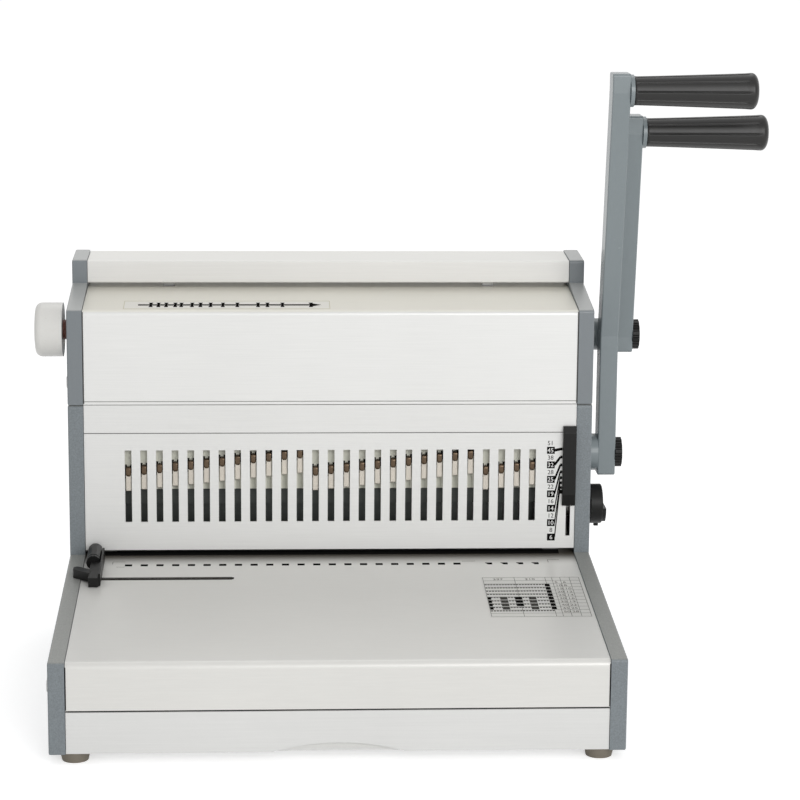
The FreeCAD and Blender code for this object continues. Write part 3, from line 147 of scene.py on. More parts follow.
casting_grey, casting_lit_top = (124, 131, 135), (150, 151, 147)
cheek_grey, cheek_lit_top = (126, 132, 136), (180, 182, 180)
textured_paint = finish("textured_blue_grey", casting_grey, 0.40, 760, mottle=0.36, relief=0.00026)
cheek_paint = finish("cheek_blue_grey", cheek_grey, 0.30, 1300, mottle=0.06, relief=0.00003)
plated_sheet = finish("plated_base_sheet", (226, 226, 224), 0.4, 500, mottle=0.08, run=(0.3, 1, 1), metallic=0.2)
# Faces that look up get painted light: paler on the castings, a painted reflection on the glossy cheeks.
upward_tone(textured_paint, casting_grey, casting_lit_top)
upward_tone(cheek_paint, cheek_grey, cheek_lit_top)
dress(plated_sheet, "base_plate")
dress(textured_paint, "left_side_plate", "right_side_plate")
dress(cheek_paint, "left_top_cheek", "right_top_cheek")

# Feet: four squat feet moulded in beige-grey rubber, one under each end of the side castings. Each is held up
# into the base by one plated screw, and the same screws fix the tie rods and the rear cover.
foot_rubber = finish("beige_rubber", (128, 121, 109), 0.75, 700, mottle=0.08, relief=0.00005)
plated_screw = finish("plated_screw", (190, 190, 188), 0.3, 900, mottle=0.05, metallic=0.9)
dress(foot_rubber, "rubber_feet")
dress(plated_screw, "foot_screws", "tie_screws", "rear_cover_screws")

# Works inside: machined steel bars, rods, racks, pinions and punch pins, brass bushes pressed into the
# side castings, and dark sprung steel sleeves.
machined_steel = finish("machined_steel", (150, 150, 148), 0.36, 500, mottle=0.10, run=(0.05, 1, 1), metallic=0.85)
bush_brass = finish("bush_brass", (186, 158, 96), 0.3, 700, mottle=0.06, metallic=0.9)
spring_steel = finish("spring_steel", (92, 92, 94), 0.38, 900, mottle=0.10, run=(3, 0.4, 0.4), metallic=0.8)
dark_steel = finish("oiled_dark_steel", (84, 88, 85), 0.5, 600, mottle=0.12, run=(0.1, 1, 1), metallic=0.3)
dress(machined_steel, "die_plate", "die_spacers", "upper_cross_bar", "rear_cross_bar", "guide_rods", "tie_rods",
      "punch_shaft", "punch_pinions", "punch_grip_spindle", "binding_shaft", "binding_pinions",
      "binding_grip_spindle", "carriage_racks", "press_racks", "wire_gap_shaft", "margin_shaft", "depth_stop_bar")
dress(dark_steel, "pin_guide_plate", "punch_bar", "punch_pins", "punch_racks", "carriage_blocks")
dress(bush_brass, "punch_bushes", "binding_bushes", "knob_bushes")
dress(spring_steel, "punch_return_spring", "binding_return_spring")

# Comb back plate and hooks: a pale painted plate behind the slots, with one bright stamped hook for each
# ring of the comb. The hooks are riveted to the carriage and go down with it to open the comb.
pale_paint = finish("pale_grey_paint", (228, 228, 215), 0.5, 800, mottle=0.06)
hook_steel = finish("stamped_hook_steel", (208, 201, 190), 0.34, 500, mottle=0.12, run=(1, 1, 0.15), metallic=0.45)
dress(pale_paint, "comb_back_plate", "carriage_plate")
dress(hook_steel, "comb_hooks")


def shell(name, corners, faces, material, body, smooth=False):
    """A mesh from arrays of corners and faces, with its faces turned outwards, that rides on a body."""
    mesh = bpy.data.meshes.new(name)
    mesh.from_pydata(np.asarray(corners).tolist(), [], faces)
    made = bmesh.new()
    made.from_mesh(mesh)
    bmesh.ops.recalc_face_normals(made, faces=made.faces)
    made.to_mesh(mesh)
    made.free()
    mesh.polygons.foreach_set("use_smooth", np.full(len(mesh.polygons), smooth))
    mesh.materials.append(material)
    piece = bpy.data.objects.new(name, mesh)
    bpy.context.scene.collection.objects.link(piece)
    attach(piece, body)
    return piece


def closed_rings(rings):
    """Corners and faces of like shells (shells, steps, places, 3): each shell's rings are joined in a row, and a
    middle point closes each of its ends."""
    shells, steps, places = rings.shape[:3]
    corners = np.concatenate([rings.reshape(shells, -1, 3), rings[:, :1].mean(2), rings[:, -1:].mean(2)], axis=1)
    here = np.arange(places)
    after = (here + 1) % places
    row = places * np.arange(steps - 1)[:, None]
    around = np.stack([row + here, row + after, row + places + after, row + places + here], axis=-1)
    last = places * (steps - 1)
    start = np.stack([after, here, np.full(places, steps * places)], axis=-1)
    end = np.stack([last + here, last + after, np.full(places, steps * places + 1)], axis=-1)
    first = corners.shape[1] * np.arange(shells)[:, None, None]
    walls = (first + around.reshape(-1, 4)).reshape(-1, 4)
    ends = (first + np.concatenate([start, end])).reshape(-1, 3)
    return corners.reshape(-1, 3), walls.tolist() + ends.tolist()


def lip_rings(across, tops, half_width, half_thick, reach, bend, front):
    """Rings of the hooks' lips: a flattened superellipse carried straight up the finger's front for its reach
    and then along a quarter circle of radius bend, back over the top; one copy is set at each hook's top."""
    arc = np.linspace(0, math.pi / 2, 9)
    depth = np.concatenate([np.full(6, front), front + bend * (1 - np.cos(arc))])
    height = -bend + np.concatenate([np.linspace(-reach, -0.0002, 6), bend * np.sin(arc)])
    lean = np.concatenate([np.zeros(6), arc])
    around = np.linspace(0, 2 * math.pi, 20, endpoint=False)
    wide = half_width * np.sign(np.cos(around)) * np.abs(np.cos(around)) ** 0.6
    thick = half_thick * np.sign(np.sin(around)) * np.abs(np.sin(around)) ** 0.8
    swell = np.concatenate([[0.55, 0.9], np.ones(10), [0.95, 0.8, 0.5]])[:, None]
    lip = np.stack([
        swell * wide[None],
        depth[:, None] + np.cos(lean)[:, None] * thick[None] * swell,
        height[:, None] - np.sin(lean)[:, None] * thick[None] * swell,
    ], axis=-1)
    places = np.stack([across, np.zeros_like(across), tops], axis=-1)
    return places[:, None, None] + lip[None]


# The curled lips of the hooks are browned by hardening. Dark patches round each on the plate behind are
# painted shadow of the hooks, longer at the left.
comb_pitch = 0.0142875
hook_points = np.empty(3 * len(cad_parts["comb_hooks"].data.vertices))
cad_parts["comb_hooks"].data.vertices.foreach_get("co", hook_points)
hook_points = hook_points.reshape(-1, 3)
hook_rows, hook_row = np.unique(np.round(hook_points[:, 0] / comb_pitch), return_inverse=True)
hook_across = comb_pitch * hook_rows
hook_tops = np.zeros(len(hook_rows))
np.maximum.at(hook_tops, hook_row, hook_points[:, 2])
browned_steel = finish("browned_hook_lip", (92, 77, 62), 0.24, 500, mottle=0.35, run=(1, 1, 0.2), metallic=0.85)
lip_cover = 0.0003
lips = lip_rings(hook_across, hook_tops + lip_cover, half_width=0.0025, half_thick=0.0005, reach=0.0062,
                 bend=0.0021, front=0.00275)
shell("hook_lips", *closed_rings(lips), browned_steel, "comb_carriage", smooth=True)


ink_thick = 0.00006


def inked(name, patches, lay, material, body="frame", low=0.0):
    """Printed patches: each flat four-cornered patch becomes a film of ink between two copies of itself."""
    patches = np.asarray(patches, float)
    under = np.concatenate([patches, np.full(patches.shape[:2] + (1,), low)], axis=2)
    over = np.concatenate([patches, np.full(patches.shape[:2] + (1,), low + ink_thick)], axis=2)
    corners = lay(np.concatenate([under, over], axis=1).reshape(-1, 3))
    first = 8 * np.arange(len(patches))[:, None, None]
    sides = np.array([(0, 3, 2, 1), (4, 5, 6, 7), (0, 1, 5, 4), (1, 2, 6, 5), (2, 3, 7, 6), (3, 0, 4, 7)])
    faces = (first + sides[None]).reshape(-1, 4).tolist()
    return shell(name, corners, faces, material, body)


def oblong(left, right, low, high):
    """Corners of flat oblongs from arrays or numbers of their left, right, low and high sides."""
    left, right, low, high = np.broadcast_arrays(*(np.asarray(side, float) for side in (left, right, low, high)))
    across = np.stack([left, right, right, left], axis=-1)
    up = np.stack([low, low, high, high], axis=-1)
    return np.stack([across, up], axis=-1).reshape(-1, 4, 2)


def upright(depth):
    """The way to stand flat points (across, height, distance in front) on an upright front face at this depth."""
    return lambda flat: np.stack([flat[..., 0], depth - flat[..., 2], flat[..., 1]], axis=-1)


back_plate_face, carriage_face = 0.0075, 0.0100
on_back_plate = upright(back_plate_face)
on_carriage = upright(carriage_face)
# The patches at both sides of each hook, longer at the left, are painted shadow.
hook_shadow_black = finish("hook_shadow_paint", (34, 32, 29), 0.7, 800, mottle=0.4, specular=0.1)
shadow_inner, shadow_outer, shadow_over = 0.0014, 0.0036, 0.0022
shadow_left_drop, shadow_right_drop = 0.0110, 0.0060
hook_shadows = np.concatenate([
    oblong(hook_across - shadow_outer, hook_across - shadow_inner, hook_tops - shadow_left_drop, hook_tops + shadow_over),
    oblong(hook_across + shadow_inner, hook_across + shadow_outer, hook_tops - shadow_right_drop, hook_tops + shadow_over),
])
inked("hook_shadows", hook_shadows, on_back_plate, hook_shadow_black)
tab_half, tab_low, tab_high = 0.0050, 0.1655, 0.1790
carriage_tabs = oblong(hook_across - tab_half, hook_across + tab_half, tab_low, tab_high)
inked("carriage_tabs", carriage_tabs, on_carriage, pale_paint, body="comb_carriage")

# Chip drawer: a pale moulded box on two plastic runners, behind a front of the same bright sheet as the
# panels, with a shallow finger dip in its lower edge.
moulded_grey = finish("moulded_pale_grey", (224, 224, 221), 0.5, 700, mottle=0.05, relief=0.00003)
drawer_sheet = finish("drawer_bright_sheet", (224, 224, 222), 0.36, 900, mottle=0.04, run=(0.02, 1, 1), metallic=0.15)
dress(moulded_grey, "drawer_box", "drawer_runners")
dress(drawer_sheet, "drawer_front")

# Feed tray: a folded sheet in satin warm grey that slopes up under the panel; its front apron is bent down
# over the drawer. A row of printed dashes shows where the punch pins come down, and painted shade darkens the
# sheet towards the throat.
tray_depth, tray_front, tray_back = 0.275, 0.087, 0.105
tray_rise = (tray_back - tray_front) / tray_depth
throat_shade_start, throat_shade_end, throat_shade = -0.033, 0.001, (0.10, 0.088, 0.072)
tray_sheet = finish("tray_satin_sheet", (226, 225, 221), 0.36, 700, mottle=0.035, run=(0.06, 1, 1), metallic=0.12)
# The sheet darkens towards the throat: painted shade.
toned_where(tray_sheet, "Object", "Y", throat_shade_start, throat_shade_end, throat_shade, ease="SMOOTHSTEP")
dress(tray_sheet, "feed_tray")


def on_tray(flat):
    """Flat points (across, depth, height over the sheet) laid on the slope of the tray."""
    lean = math.atan(tray_rise)
    depth = flat[..., 1] - flat[..., 2] * math.sin(lean)
    height = tray_back + flat[..., 1] * tray_rise + flat[..., 2] * math.cos(lean)
    return np.stack([flat[..., 0], depth, height], axis=-1)


on_panel = upright(0.0)
on_apron = upright(-tray_depth)
black_ink = finish("black_ink", (24, 23, 22), 0.88, 600, mottle=0.25, specular=0.0)
faded_ink = finish("faded_ink", (112, 110, 104), 0.88, 900, mottle=0.35, specular=0.0)
dash_length, dash_front, dash_rear = 0.0066, -0.0312, -0.0260
first_dash, first_wedge = -0.1884, 0.1405
dash_starts = first_dash + comb_pitch * np.arange(22)
inked("tray_dashes", oblong(dash_starts, dash_starts + dash_length, dash_front, dash_rear), on_tray, black_ink)
wedge_corners = np.array([0.0, 0.0068, 0.0068, 0.0030])
wedge_starts = first_wedge + comb_pitch * np.arange(4)
wedges = np.stack([
    wedge_starts[:, None] + wedge_corners[None],
    np.tile([dash_rear, dash_rear, dash_front, dash_front], (4, 1)),
], axis=-1)
inked("tray_wedges", wedges[:, ::-1], on_tray, black_ink)
apron_shade = finish("apron_edge_shade", (38, 38, 37), 0.8, 900, mottle=0.2, specular=0.1)
# Each row below is a line of painted shade at the apron's edges: its left, right, low and high side.
apron_edges = oblong(*np.transpose([
    (-0.2254, 0.2254, 0.0455, 0.0465),
    (-0.2256, -0.2249, 0.0470, 0.0840),
    (0.2249, 0.2256, 0.0470, 0.0840),
]))
inked("apron_edges", apron_edges, on_apron, apron_shade)
corner_marks = oblong(*np.transpose([
    (-0.2000, -0.1885, -0.0190, -0.0184),
    (-0.2000, -0.1995, -0.0255, -0.0190),
    (0.1990, 0.2100, -0.0190, -0.0184),
    (0.1990, 0.1995, -0.0260, -0.0190),
    (-0.1960, -0.1885, -0.0335, -0.0329),
    (0.1200, 0.1320, -0.0220, -0.0214),
]))
inked("tray_corner_marks", corner_marks, on_tray, faded_ink)

# Throat strip: a thin black film on the tray's rear edge, under the panel and just in front of it, as
# painted shade where the sheets go into the throat.
strip_black = finish("throat_shade_film", (20, 20, 19), 0.8, 700, mottle=0.2, specular=0.1)
strip_half, strip_front, strip_rear = 0.2120, -0.0010, 0.0112
inked("throat_shade_strip", oblong(-strip_half, strip_half, strip_front, strip_rear), on_tray, strip_black)

# Slit edging: two black serrated strips glued along the tray's slit, which grip the side guide's clamp. The
# slit's rear wall is painted black as painted shade.
slit_left, slit_right, slit_middle = -0.2180, -0.0905, -0.0655
slit_half, edging_out, edging_end, edging_end_half = 0.0015, 0.0036, 0.0016, 0.0026
edging_and_slit_shade_black = finish("serrated_strip_and_slit_shade", (40, 38, 34), 0.85, 900, mottle=0.6, relief=0.00006, specular=0.0)
edging = oblong(*np.transpose([
    (slit_left, slit_right, slit_middle - edging_out, slit_middle - slit_half),
    (slit_left, slit_right, slit_middle + slit_half, slit_middle + edging_out),
    (slit_right, slit_right + edging_end, slit_middle - edging_end_half, slit_middle + edging_end_half),
]))
inked("slit_edging", edging, on_tray, edging_and_slit_shade_black)


def in_slit(flat):
    """Flat points (across, height, distance forward) stood on the rear wall of the tray's slit."""
    return on_tray(np.stack([flat[..., 0], slit_middle + slit_half - flat[..., 2], flat[..., 1]], axis=-1))


# The slit's rear wall is painted black as painted shade.
wall_shade_low, wall_shade_high = -0.0011, -0.0001
inked("slit_wall_shade", oblong(slit_left, slit_right, wall_shade_low, wall_shade_high), in_slit, edging_and_slit_shade_black)

# Paper chart: a clear film stuck to the tray's right side, printed with a ruled table of sheet counts,
# rows of dashes, filled cells and plain numbers.
film = finish("clear_label_film", (218, 217, 213), 0.3, 500, mottle=0.03)
chart_left, chart_right = 0.1335, 0.2235
chart_front, chart_rear = -0.1720, -0.0665
inked("chart_film", oblong(chart_left, chart_right, chart_front, chart_rear), on_tray, film)
row_edges = np.linspace(chart_rear - 0.0015, chart_front + 0.0020, 13)
column_edges = chart_left + np.array([0.0015, 0.0300, 0.0580, 0.0640, 0.0715, 0.0800, 0.0885])
rule_wide = 0.0004
rules = np.concatenate([
    oblong(column_edges[0], column_edges[-1], row_edges, row_edges + rule_wide),
    oblong(column_edges, column_edges + rule_wide, row_edges[-1], row_edges[0]),
])
inked("chart_rules", rules, on_tray, faded_ink, low=ink_thick)
chart_grey = finish("chart_grey_ink", (78, 77, 74), 0.88, 900, mottle=0.4, specular=0.0)
dashes_in_row, row_dash_length, row_dash_inset = 22, 0.0019, 0.0006
row_dash_low, row_dash_high = 0.0034, 0.0010
dash_rows, dash_columns = (grid.ravel() for grid in np.meshgrid(np.arange(2, 11), np.arange(dashes_in_row),
                                                                indexing="ij"))
dash_lefts = column_edges[0] + row_dash_inset + dash_columns * (column_edges[2] - column_edges[0]) / dashes_in_row
chart_dashes = oblong(dash_lefts, dash_lefts + row_dash_length, row_edges[dash_rows] - row_dash_low,
                      row_edges[dash_rows] - row_dash_high)
inked("chart_dashes", chart_dashes, on_tray, chart_grey, low=ink_thick)
cell_lefts = chart_left + np.array([0.0020, 0.0130, 0.0260, 0.0385, 0.0560])
cell_widths = np.array([0.0030, 0.0065, 0.0065, 0.0065, 0.0045])
cell_low, cell_high = 0.0012, 0.0008


def table_cells(rows, columns):
    """Oblongs of the chart's filled cells: each of these rows in each of these columns."""
    row, column = (grid.ravel() for grid in np.meshgrid(rows, columns, indexing="ij"))
    left = cell_lefts[column]
    return oblong(left, left + cell_widths[column], row_edges[row + 1] + cell_low, row_edges[row] - cell_high)


black_cells = np.concatenate([table_cells(np.arange(6, 10), [0]), table_cells(np.arange(6, 9), [2]),
                              table_cells(np.arange(2, 10), [4])])
inked("chart_cells", black_cells, on_tray, black_ink, low=2 * ink_thick)
inked("chart_grey_cells", table_cells(np.arange(6, 10), [1, 3]), on_tray, chart_grey, low=2 * ink_thick)


def lettering(name, entries, lay, material, height, body="frame", low=0.0):
    """Figures set in type, each entry (text, across, up) with its lower left corner there, as one film of ink."""
    corners = []
    faces = []
    count = 0
    for text, across, up in entries:
        curve = bpy.data.curves.new("figure", "FONT")
        curve.body = text
        curve.size = height
        curve.extrude = ink_thick / 2
        curve.resolution_u = 3
        setting = bpy.data.objects.new("figure", curve)
        bpy.context.scene.collection.objects.link(setting)
        mesh = bpy.data.meshes.new_from_object(setting.evaluated_get(bpy.context.evaluated_depsgraph_get()))
        flat = np.empty(3 * len(mesh.vertices))
        mesh.vertices.foreach_get("co", flat)
        flat = flat.reshape(-1, 3) + (across, up, low + ink_thick / 2)
        corners.append(lay(flat))
        around = np.empty(len(mesh.loops), np.int32)
        mesh.loops.foreach_get("vertex_index", around)
        starts = np.empty(len(mesh.polygons), np.int32)
        mesh.polygons.foreach_get("loop_start", starts)
        faces.extend(np.split(count + around, starts[1:]))
        count += len(flat)
        bpy.data.objects.remove(setting)
        bpy.data.curves.remove(curve)
        bpy.data.meshes.remove(mesh)
    return shell(name, np.concatenate(corners), faces, material, body)


figure_lift, chart_type = 0.0018, 0.0062
counts_left, widths_left, head_lefts = 0.0655, 0.0730, (0.0105, 0.0395)
sheet_counts = [(str(sheets), chart_left + counts_left, row_edges[row + 1] + figure_lift)
                for row, sheets in enumerate((5, 10, 15, 20, 25, 30, 35, 40, 45, 50), start=1)]
comb_widths = [(str(width), chart_left + widths_left, row_edges[row + 1] + figure_lift)
               for row, width in enumerate((6, 8, 10, 12, 14, 16, 19, 22, 25, 28), start=1)]
column_heads = [(head, chart_left + left, row_edges[1] + figure_lift)
                for head, left in zip(("297", "210"), head_lefts)]
lettering("chart_figures", sheet_counts + comb_widths + column_heads, on_tray, faded_ink, chart_type, low=ink_thick)

# Front panel, upper cover and rear cover: bright brushed sheet, folded and screwed between the side
# castings. The grain runs across the machine; faces that look up, the bed on top of the cover among them, are
# painted a darker cream as painted shade.
bright_sheet = finish("brushed_bright_sheet", (231, 231, 229), 0.36, 900, mottle=0.05, run=(0.02, 1, 1),
                      metallic=0.15)
cover_bright, bed_shaded_cream = (236, 236, 234), (230, 227, 215)
cover_sheet = finish("cover_bright_sheet", cover_bright, 0.34, 900, mottle=0.045, run=(0.02, 1, 1),
                     metallic=0.15)
# Faces of the covers that look up are painted a darker cream, as painted shade.
upward_tone(cover_sheet, cover_bright, bed_shaded_cream)
dress(bright_sheet, "front_panel")
dress(cover_sheet, "upper_cover", "rear_cover")
seam_shade = finish("pressed_seam_shade", (112, 112, 110), 0.7, 900, mottle=0.2, specular=0.1)
hem_shade = finish("hem_line_shade", (160, 160, 157), 0.7, 900, mottle=0.2, specular=0.1)
sheet_half = 0.2254
groove_height, groove_half = 0.2200, 0.0003
panel_seam = oblong(-sheet_half, sheet_half, groove_height - groove_half, groove_height + groove_half)
inked("panel_seam_line", panel_seam, on_panel, seam_shade)
hem_height, hem_wide = 0.2492, 0.0008
inked("cover_hem_line", oblong(-sheet_half, sheet_half, hem_height, hem_height + hem_wide), on_panel, hem_shade)
# Dark lines at both ends of the cover's front are painted shade of the gaps to the cheeks.
end_shade_inner, end_shade_outer, end_shade_low, end_shade_high = 0.2248, 0.2256, 0.2475, 0.3322
end_shade_lines = oblong([-end_shade_outer, end_shade_inner], [-end_shade_inner, end_shade_outer], end_shade_low, end_shade_high)
inked("cover_end_shade_lines", end_shade_lines, on_panel, seam_shade)

# Comb size scale: fourteen comb widths printed in black beside the slider, every other one reversed out of
# a black box, with bands that lead from the boxes to the slider's ticks.
white_ink = finish("white_ink", (240, 240, 238), 0.45, 600, mottle=0.05)
scale_rows = np.linspace(0.2098, 0.1204, 14)
scale_left = np.linspace(0.1988, 0.2005, 14)
boxed = np.arange(1, 14, 2)
box_wide, box_half = 0.0072, 0.0033
scale_boxes = oblong(scale_left[boxed], scale_left[boxed] + box_wide, scale_rows[boxed] - box_half,
                     scale_rows[boxed] + box_half)
inked("scale_boxes", scale_boxes, on_panel, black_ink)
tick_heights = np.array([0.2041, 0.1966, 0.1891, 0.1825, 0.1770, 0.1722, 0.1676])
tick_left, tick_right, tick_half = 0.2114, 0.2134, 0.0013
ticks = oblong(tick_left, tick_right, tick_heights - tick_half, tick_heights + tick_half)
last_tick = oblong(0.2116, 0.2142, 0.1618, 0.1655)
inked("scale_ticks", np.concatenate([ticks, last_tick]), on_panel, black_ink)
leader_half = np.array([0.0013, 0.0011, 0.0009, 0.0007, 0.0005, 0.0005, 0.0005])
leader_inset, leader_right = 0.0070, 0.2116
leader_start = np.stack([scale_left[boxed] + leader_inset, scale_rows[boxed]], axis=-1)
leader_end = np.stack([np.full(len(boxed), leader_right), tick_heights], axis=-1)
leader_run = (leader_end - leader_start) / np.linalg.norm(leader_end - leader_start, axis=1)[:, None]
leader_side = np.stack([-leader_run[:, 1], leader_run[:, 0]], axis=-1) * leader_half[:, None]
leaders = np.stack([leader_start - leader_side, leader_end - leader_side, leader_end + leader_side,
                    leader_start + leader_side], axis=1)
inked("scale_leaders", leaders, on_panel, black_ink)
comb_sizes = ("6", "8", "10", "12", "14", "16", "19", "22", "25", "28", "32", "38", "45", "51")[::-1]
scale_type, figure_drop, pair_inset, single_inset = 0.0058, 0.0020, 0.0004, 0.0022
figures = [(size, scale_left[row] + (pair_inset if len(size) == 2 else single_inset), scale_rows[row] - figure_drop)
           for row, size in enumerate(comb_sizes)]
lettering("scale_figures", figures[::2], on_panel, black_ink, scale_type)
lettering("scale_boxed_figures", figures[1::2], on_panel, white_ink, scale_type, low=ink_thick)

# Wire gauge label: a thin cream film stuck to the bed in front of the press bar, printed with a line, crossed
# marks for the wire sizes and an arrow at its right end.
bed_depth, bed_front, bed_back = 0.085, 0.333, 0.341
bed_rise = (bed_back - bed_front) / bed_depth


def on_bed(flat):
    """Flat points (across, depth, height over the sheet) laid on the bed, which rises to the press bar."""
    return np.stack([flat[..., 0], flat[..., 1], bed_front + flat[..., 1] * bed_rise + flat[..., 2]], axis=-1)


gauge_film = finish("cream_label_film", (234, 232, 224), 0.35, 500, mottle=0.03)
gauge_edge = finish("cream_label_edge", (206, 201, 178), 0.5, 500, mottle=0.1, specular=0.1)
film_left, film_right, film_front, film_rear = -0.189, -0.001, 0.008, 0.036
edge_side, edge_end = 0.0012, 0.0006
inked("gauge_film", oblong(film_left, film_right, film_front, film_rear), on_bed, gauge_film)
film_edges = oblong(*np.transpose([
    (film_left, film_right, film_front, film_front + edge_side),
    (film_left, film_right, film_rear - edge_side, film_rear),
    (film_left, film_left + edge_end, film_front, film_rear),
    (film_right - edge_end, film_right, film_front, film_rear),
]))
inked("gauge_film_edges", film_edges, on_bed, gauge_edge, low=ink_thick)
line_left, line_right, line_front, line_rear = -0.176, -0.016, 0.0200, 0.0242
inked("gauge_line", oblong(line_left, line_right, line_front, line_rear), on_bed, black_ink, low=ink_thick)
marks = np.array([-164.4, -157.4, -150.4, -142.1, -136.6, -126.8, -119.2, -110.0, -98.8, -85.6, -66.7, -58.1,
                  -44.4, -18.4]) / 1000
mark_corners = np.array([-0.0020, 0.0020, 0.0006, -0.0006])
mark_front, mark_middle, mark_rear = 0.0146, 0.0221, 0.0296
mark_wide = marks[:, None] + mark_corners[None]
front_depths = np.tile([mark_front, mark_front, mark_middle, mark_middle], (len(marks), 1))
rear_depths = np.tile([mark_middle, mark_middle, mark_rear, mark_rear], (len(marks), 1))
crosses = np.concatenate([np.stack([mark_wide, front_depths], axis=-1),
                          np.stack([mark_wide[:, ::-1], rear_depths], axis=-1)])
inked("gauge_marks", crosses, on_bed, black_ink, low=2 * ink_thick)
arrow_foot, arrow_tip, arrow_front, arrow_rear, tip_wide = -0.018, -0.009, 0.0168, 0.0274, 0.0000001
arrow = [[(arrow_foot, arrow_front), (arrow_tip, mark_middle), (arrow_tip, mark_middle + tip_wide),
          (arrow_foot, arrow_rear)]]
inked("gauge_arrow", arrow, on_bed, black_ink, low=2 * ink_thick)

# Press bar: a bright bar drawn in light metal, lying behind the bed. Two racks screwed under its ends lift it,
# and it closes wire bindings on its way back.
bar_bright, bar_lit_top = (229, 228, 225), (246, 245, 240)
bar_metal = finish("drawn_bar_metal", bar_bright, 0.36, 900, mottle=0.04, run=(0.02, 1, 1), metallic=0.15)
# Faces of the bar that look up are painted paler, as painted light.
upward_tone(bar_metal, bar_bright, bar_lit_top)
dress(bar_metal, "press_bar")

# Hand levers: two cranked steel arms on the right, sprayed with smooth glossy blue-grey paint, each keyed to
# its shaft behind a fluted black cap.
lever_paint = finish("glossy_blue_grey", (132, 141, 144), 0.26, 220, mottle=0.02, relief=0.000004, swing=0.03)
moulded_black = finish("moulded_black", (20, 20, 19), 0.4, 700, mottle=0.2, relief=0.00001, specular=0.22)
dress(lever_paint, "punch_lever_arm", "binding_lever_arm")
dress(moulded_black, "punch_lever_cap", "binding_lever_cap")

# Lever grips: turned black plastic handles on steel spindles, wider at the free end, with broad flats parted
# by thin grooves and a smooth rounded end rim.
grip_black = finish("satin_black_grip", (26, 25, 24), 0.36, 600, mottle=0.15, relief=0.000006, specular=0.42)


def grip_rings(low, high, narrow, wide, flats=10, groove=0.0014, slit=0.06):
    """Rings of a grip along X: the radius grows from narrow to wide, and each groove is a bell-shaped dip
    between two flats that fades out before both ends; the end rim is a quarter ellipse."""
    reach = high[0] - low[0]
    rim, crown = 0.006, 0.0002
    body = np.concatenate([[0.0, 0.0004], np.linspace(0.0012, reach - rim, 60)])
    bend = np.linspace(0, math.pi / 2, 14)[1:]
    along = np.concatenate([body, reach - rim + rim * np.sin(bend)])
    radius = narrow + (wide - narrow) * (along / reach) ** 1.15
    radius[:2] -= 0.0008, 0.0003
    radius[len(body):] *= 1 - 0.55 * (1 - np.cos(bend))
    turn = np.linspace(0, 2 * math.pi, flats * 20, endpoint=False)
    within = (turn * flats / (2 * math.pi)) % 1.0 - 0.5
    dip = groove * np.exp(-((np.abs(within) - 0.5) / slit) ** 2) + crown * (1 - (2 * within) ** 2)
    fade = np.clip((along - 0.001) / 0.002, 0, 1) * np.clip((reach - 0.008 - along) / 0.003, 0, 1)
    ring = radius[:, None] - fade[:, None] * dip[None]
    middle = (low + high) / 2
    return np.stack([
        np.broadcast_to(low[0] + along[:, None], ring.shape),
        middle[1] + ring * np.cos(turn)[None],
        middle[2] + ring * np.sin(turn)[None],
    ], axis=-1)


grip_taper, grip_clear = 0.0036, 0.0001
for lever in ("punch", "binding"):
    low, high = (np.array(corner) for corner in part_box(lever + "_grip"))
    wide = (high[1] - low[1]) / 2
    corners, faces = closed_rings(grip_rings(low, high, wide - grip_taper, wide - grip_clear)[None])
    grip = shell(lever + "_fluted_grip", corners, faces, grip_black, lever + "_lever", smooth=True)
    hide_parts(lever + "_grip")

# Wire gap knob: an off-white plastic knob on the left cheek, moulded with a rounded rim. It is pressed on the
# end of its cam shaft, with a red-brown plastic hub behind it.
knob_white = finish("off_white_plastic", (228, 227, 223), 0.3, 500, mottle=0.025)
hub_brown = finish("red_brown_plastic", (140, 84, 70), 0.45, 600, mottle=0.08)
dress(knob_white, "wire_gap_knob")
dress(hub_brown, "wire_gap_hub")

# Margin knob and comb size slider: two black plastic mouldings at the right. The knob is pressed on its shaft
# outside the side casting, and the slider runs up and down on a stem in a slot of the panel.
dress(moulded_black, "margin_knob", "size_slider", "slider_stem")

# Side guide: a black clamp in the tray's slit that the paper's edge rests against, tightened by a barrel
# grip with shallow finger ridges.
dress(moulded_black, "side_guide_body")


def barrel_rings(middle, front, rear, radius, flats=10):
    """Rings of a barrel that lies along the tray: each is a polygon of flats with softened corners, with a
    necked collar at the front and a quarter-ellipse dome at the rear."""
    dome, clear, soft_corner = 0.006, 0.0004, 0.988
    bend = np.linspace(0, math.pi / 2, 10)[:-1]
    straight = np.array([0.0, 0.0006, 0.0034, 0.0038, 0.0046, 0.0050, 0.0056, 0.012, 0.022])
    size = np.concatenate([[0.90, 0.97, 0.97, 0.88, 0.88, 0.97, 1.0, 1.0, 1.0], np.cos(bend) ** 0.5])
    along = np.concatenate([straight, rear - front - dome + dome * np.sin(bend)])
    turn = np.linspace(0, 2 * math.pi, flats * 8, endpoint=False)
    within = (turn % (2 * math.pi / flats)) - math.pi / flats
    flat = math.cos(math.pi / flats) / np.cos(within)
    round_share = np.clip(np.abs(size - 1.0) * 8, 0, 1)[:, None]
    ring = radius * size[:, None] * (round_share + (1 - round_share) * np.minimum(flat, soft_corner)[None])
    across = middle + ring * np.cos(turn)
    height = radius + clear + ring * np.sin(turn)
    depth = np.broadcast_to(front + along[:, None], ring.shape)
    return on_tray(np.stack([across, depth, height], axis=-1))


low, high = (np.array(corner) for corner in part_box("side_guide_grip"))
barrel_middle, barrel_radius = (low[0] + high[0]) / 2, (high[0] - low[0]) / 2
barrel_front, barrel_rear = -0.0425, -0.0027
corners, faces = closed_rings(barrel_rings(barrel_middle, barrel_front, barrel_rear, barrel_radius)[None])
barrel = shell("side_guide_barrel", corners, faces, moulded_black, "side_guide", smooth=False)
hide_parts("side_guide_grip")

